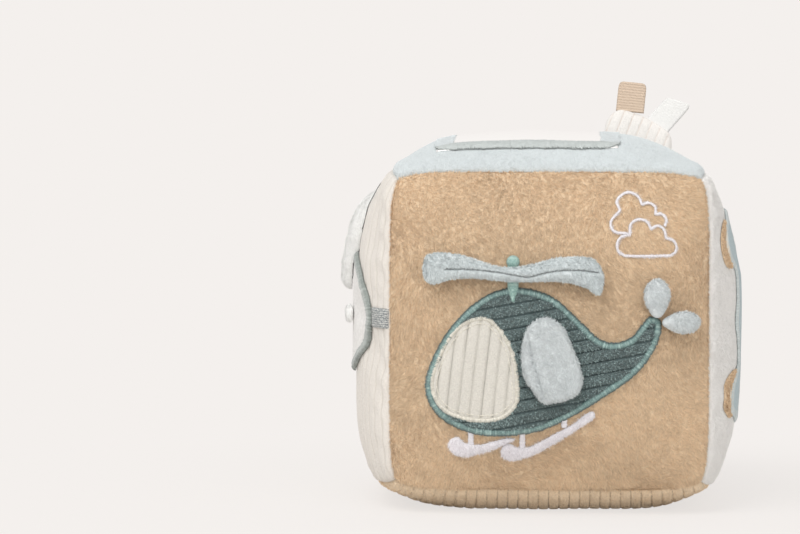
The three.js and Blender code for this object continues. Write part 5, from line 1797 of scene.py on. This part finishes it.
def make_tag(name, body, node, width, length, root_shares, turn, rib, depth, material, slot, curl, skew=0):
    """A folded tape: up the front, round the fold and down the back."""
    radius = (TAG_THICKNESS - TAG_CLOTH) / 2
    straight = length - radius - TAG_CLOTH / 2
    total = 2 * straight + np.pi * radius
    along = np.linspace(0, total, math.ceil(total / TAG_STEP))
    angle = np.clip((along - straight) / radius, 0, np.pi)
    height = np.where(along < straight, along, np.where(along > total - straight, total - along, straight))
    height = height + radius * np.sin(angle)
    middle = radius * np.cos(angle)
    facing = np.column_stack([np.cos(angle), np.sin(angle)])
    ribs = depth * np.sin(2 * np.pi * along / rib)
    across = np.linspace(-width / 2, width / 2, TAG_COLUMNS + 1)
    wave = TAG_WAVE * np.sin(across / width * TAG_WAVE_TURN + TAG_WAVE_START)
    root = (root_shares[0] * TAB_WIDTH, root_shares[1] * TAB_HEIGHT)
    layers = []
    for side in (1, -1):
        thick = side * (TAG_CLOTH / 2 + ribs)
        out = middle + facing[:, 0] * thick
        up = height + facing[:, 1] * thick
        bend = curl * (up / length) ** 2
        sides = across * (1 - TAG_ROUND * np.clip(up / length, 0, 1) ** TAG_ROUND_POWER)[:, None]
        place = np.stack([sides, up[:, None] + skew * sides], axis=-1).reshape(-1, 2)
        depth_out = (out + bend)[:, None] + wave[None, :] * (up / length)[:, None]
        layers.append(on_tab(turned(place, turn, *root), depth_out.ravel()))
    rows = len(along) - 1
    cells = grid_triangles(TAG_COLUMNS, rows)
    count = len(layers[0])
    start = np.arange(TAG_COLUMNS + 1)
    end = rows * (TAG_COLUMNS + 1) + start
    left = np.arange(rows + 1) * (TAG_COLUMNS + 1)
    right = left + TAG_COLUMNS
    edges = []
    for line, flip in ((start, 1), (end, -1), (left, -1), (right, 1)):
        a, b = line[:-1], line[1:]
        edges.append(band(a, b, a + count, b + count)[:, ::flip])
    triangles = np.concatenate([cells, cells[:, ::-1] + count, *edges])
    piece = new_piece(name, np.concatenate(layers), triangles, material)
    sewn(piece, riding(body), slot, node)


def make_tags(cloths):
    make_tag(
        "ribbon_loop", "ribbon", "ribbon_tag", RIBBON_WIDTH, RIBBON_LENGTH, RIBBON_ROOT_SHARES,
        RIBBON_TURN_DEG, RIBBON_RIB, RIBBON_RIB_DEPTH, cloths["tan_ribbon"], "tan_ribbon", curl=RIBBON_CURL)
    make_tag(
        "blank_label", "label", "satin_label", LABEL_WIDTH, LABEL_LENGTH, LABEL_ROOT_SHARES, LABEL_TURN_DEG,
        RIBBON_RIB, LABEL_RIB_DEPTH, cloths["label_satin"], "white_satin", curl=LABEL_CURL, skew=LABEL_SKEW)


def make_inside(cloths):
    """What the panels hold keeps the frame's own solids; the filling settles under the cloth."""
    for node, finish in FINISHES.items():
        mesh = frame["nodes"][node].data
        mesh.materials.clear()
        mesh.materials.append(cloths[finish])
    for half in ("lower", "upper"):
        source = frame["nodes"][f"filling_{half}"]
        fluff = source.copy()
        fluff.data = source.data.copy()
        fluff.name = f"fluff_{half}"
        fluff.parent = None
        del fluff["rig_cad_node"]
        bpy.context.scene.collection.objects.link(fluff)
        fluff.data.materials.clear()
        fluff.data.materials.append(cloths["fill"])
        middle = np.array((0, 0, CENTRE_Z))
        points = settled(as_arrays(fluff)[0]) - middle
        outer = np.abs(points).max(axis=1) > FILL_OUTSIDE
        points[outer] *= FILL_SHARE
        fluff.data.vertices.foreach_set("co", ((points + middle) * MM).ravel())
        fluff.data.update()
        sewn(fluff, riding("cube"), "fibre_filling", f"filling_{half}")


# Studio

def show_blend(holder, factor, one, other, output):
    """Shows one shader, or another one by a factor."""
    blend = add_node(holder, "ShaderNodeMixShader")
    for source, socket in zip((factor, one.outputs[0], other.outputs[0]), blend.inputs):
        link(holder, source, socket)
    link(holder, blend.outputs[0], holder.node_tree.nodes[output].inputs["Surface"])


def seen_directly(holder):
    """1 for rays from the camera, or by way of a mirror or glass."""
    path = add_node(holder, "ShaderNodeLightPath")
    value = path.outputs["Is Camera Ray"]
    for name in ("Is Glossy Ray", "Is Transmission Ray"):
        either = add_node(holder, "ShaderNodeMath", operation="MAXIMUM")
        link(holder, value, either.inputs[0])
        link(holder, path.outputs[name], either.inputs[1])
        value = either.outputs[0]
    return value


def make_floor():
    """A floor that turns into the even background away from the cube."""
    mesh = bpy.data.meshes.new("floor")
    corners = [(x * FLOOR_REACH, y * FLOOR_REACH, 0) for x, y in ((-1, -1), (1, -1), (1, 1), (-1, 1))]
    mesh.from_pydata(corners, [], [range(len(corners))])
    floor = bpy.data.objects.new("floor", mesh)
    floor.location.z = -TINY * MM
    bpy.context.scene.collection.objects.link(floor)
    material = bpy.data.materials.new("floor")
    material.use_nodes = True
    material.node_tree.nodes.remove(material.node_tree.nodes["Principled BSDF"])
    diffuse = add_node(material, "ShaderNodeBsdfDiffuse")
    diffuse.inputs["Color"].default_value = linear(*FLOOR_COLOUR)
    glow = add_node(material, "ShaderNodeEmission")
    glow.inputs["Color"].default_value = linear(*BACKDROP_COLOUR)
    away = add_node(material, "ShaderNodeVectorMath", operation="LENGTH")
    fade = add_node(material, "ShaderNodeMapRange", interpolation_type="SMOOTHSTEP")
    for socket, value in zip(("From Min", "From Max", "To Min", "To Max"), FLOOR_FADE):
        fade.inputs[socket].default_value = value
    share = add_node(material, "ShaderNodeMath", operation="MULTIPLY")
    link(material, own_place(material), away.inputs[0])
    link(material, away.outputs["Value"], fade.inputs["Value"])
    link(material, seen_directly(material), share.inputs[0])
    link(material, fade.outputs["Result"], share.inputs[1])
    show_blend(material, share.outputs[0], diffuse, glow, "Material Output")
    mesh.materials.append(material)


def make_world():
    world = bpy.data.worlds.new("studio")
    bpy.context.scene.world = world
    world.use_nodes = True
    light = world.node_tree.nodes["Background"]
    light.inputs["Color"].default_value = WORLD_COLOUR
    light.inputs["Strength"].default_value = WORLD_STRENGTH
    backdrop = add_node(world, "ShaderNodeBackground")
    backdrop.inputs["Color"].default_value = linear(*BACKDROP_COLOUR)
    show_blend(world, seen_directly(world), light, backdrop, "World Output")


def make_lamp(name, place, size, power):
    lamp = bpy.data.lights.new(name, "AREA")
    lamp.size = size
    lamp.energy = power
    holder = bpy.data.objects.new(name, lamp)
    holder.location = place
    aim = Vector((0, 0, CENTRE_Z * MM)) - holder.location
    holder.rotation_euler = aim.to_track_quat("-Z", "Y").to_euler()
    bpy.context.scene.collection.objects.link(holder)


def make_camera():
    scene = bpy.context.scene
    camera = bpy.data.objects.new("camera", bpy.data.cameras.new("camera"))
    camera.data.sensor_width = SENSOR
    camera.data.lens = SENSOR * CAMERA_RANGE / (PHOTO_WIDTH * PIXEL)
    camera.data.clip_start, camera.data.clip_end = CAMERA_CLIP
    elevation = math.radians(CAMERA_ELEVATION_DEG)
    front = Vector((0, -SEAM_REACH, CENTRE_Z))
    camera.location = (front + CAMERA_RANGE * Vector((0, -math.cos(elevation), math.sin(elevation)))) * MM
    shift = Vector(((PHOTO_WIDTH / 2 - CUBE_PX) * PIXEL, 0, (CUBE_PY - PHOTO_HEIGHT / 2) * PIXEL))
    aim = (front + shift) * MM - camera.location
    camera.rotation_euler = aim.to_track_quat("-Z", "Y").to_euler()
    scene.collection.objects.link(camera)
    scene.camera = camera


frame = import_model()
bpy.context.scene.view_settings.view_transform = "Standard"
make_camera()
make_world()
for lamp in LAMPS:
    make_lamp(*lamp)
make_floor()
cloths = make_cloths()
swollen = blown_up()
make_front(cloths)
make_sides(cloths)
make_top(cloths)
make_tab(cloths)
make_tags(cloths)
make_inside(cloths)
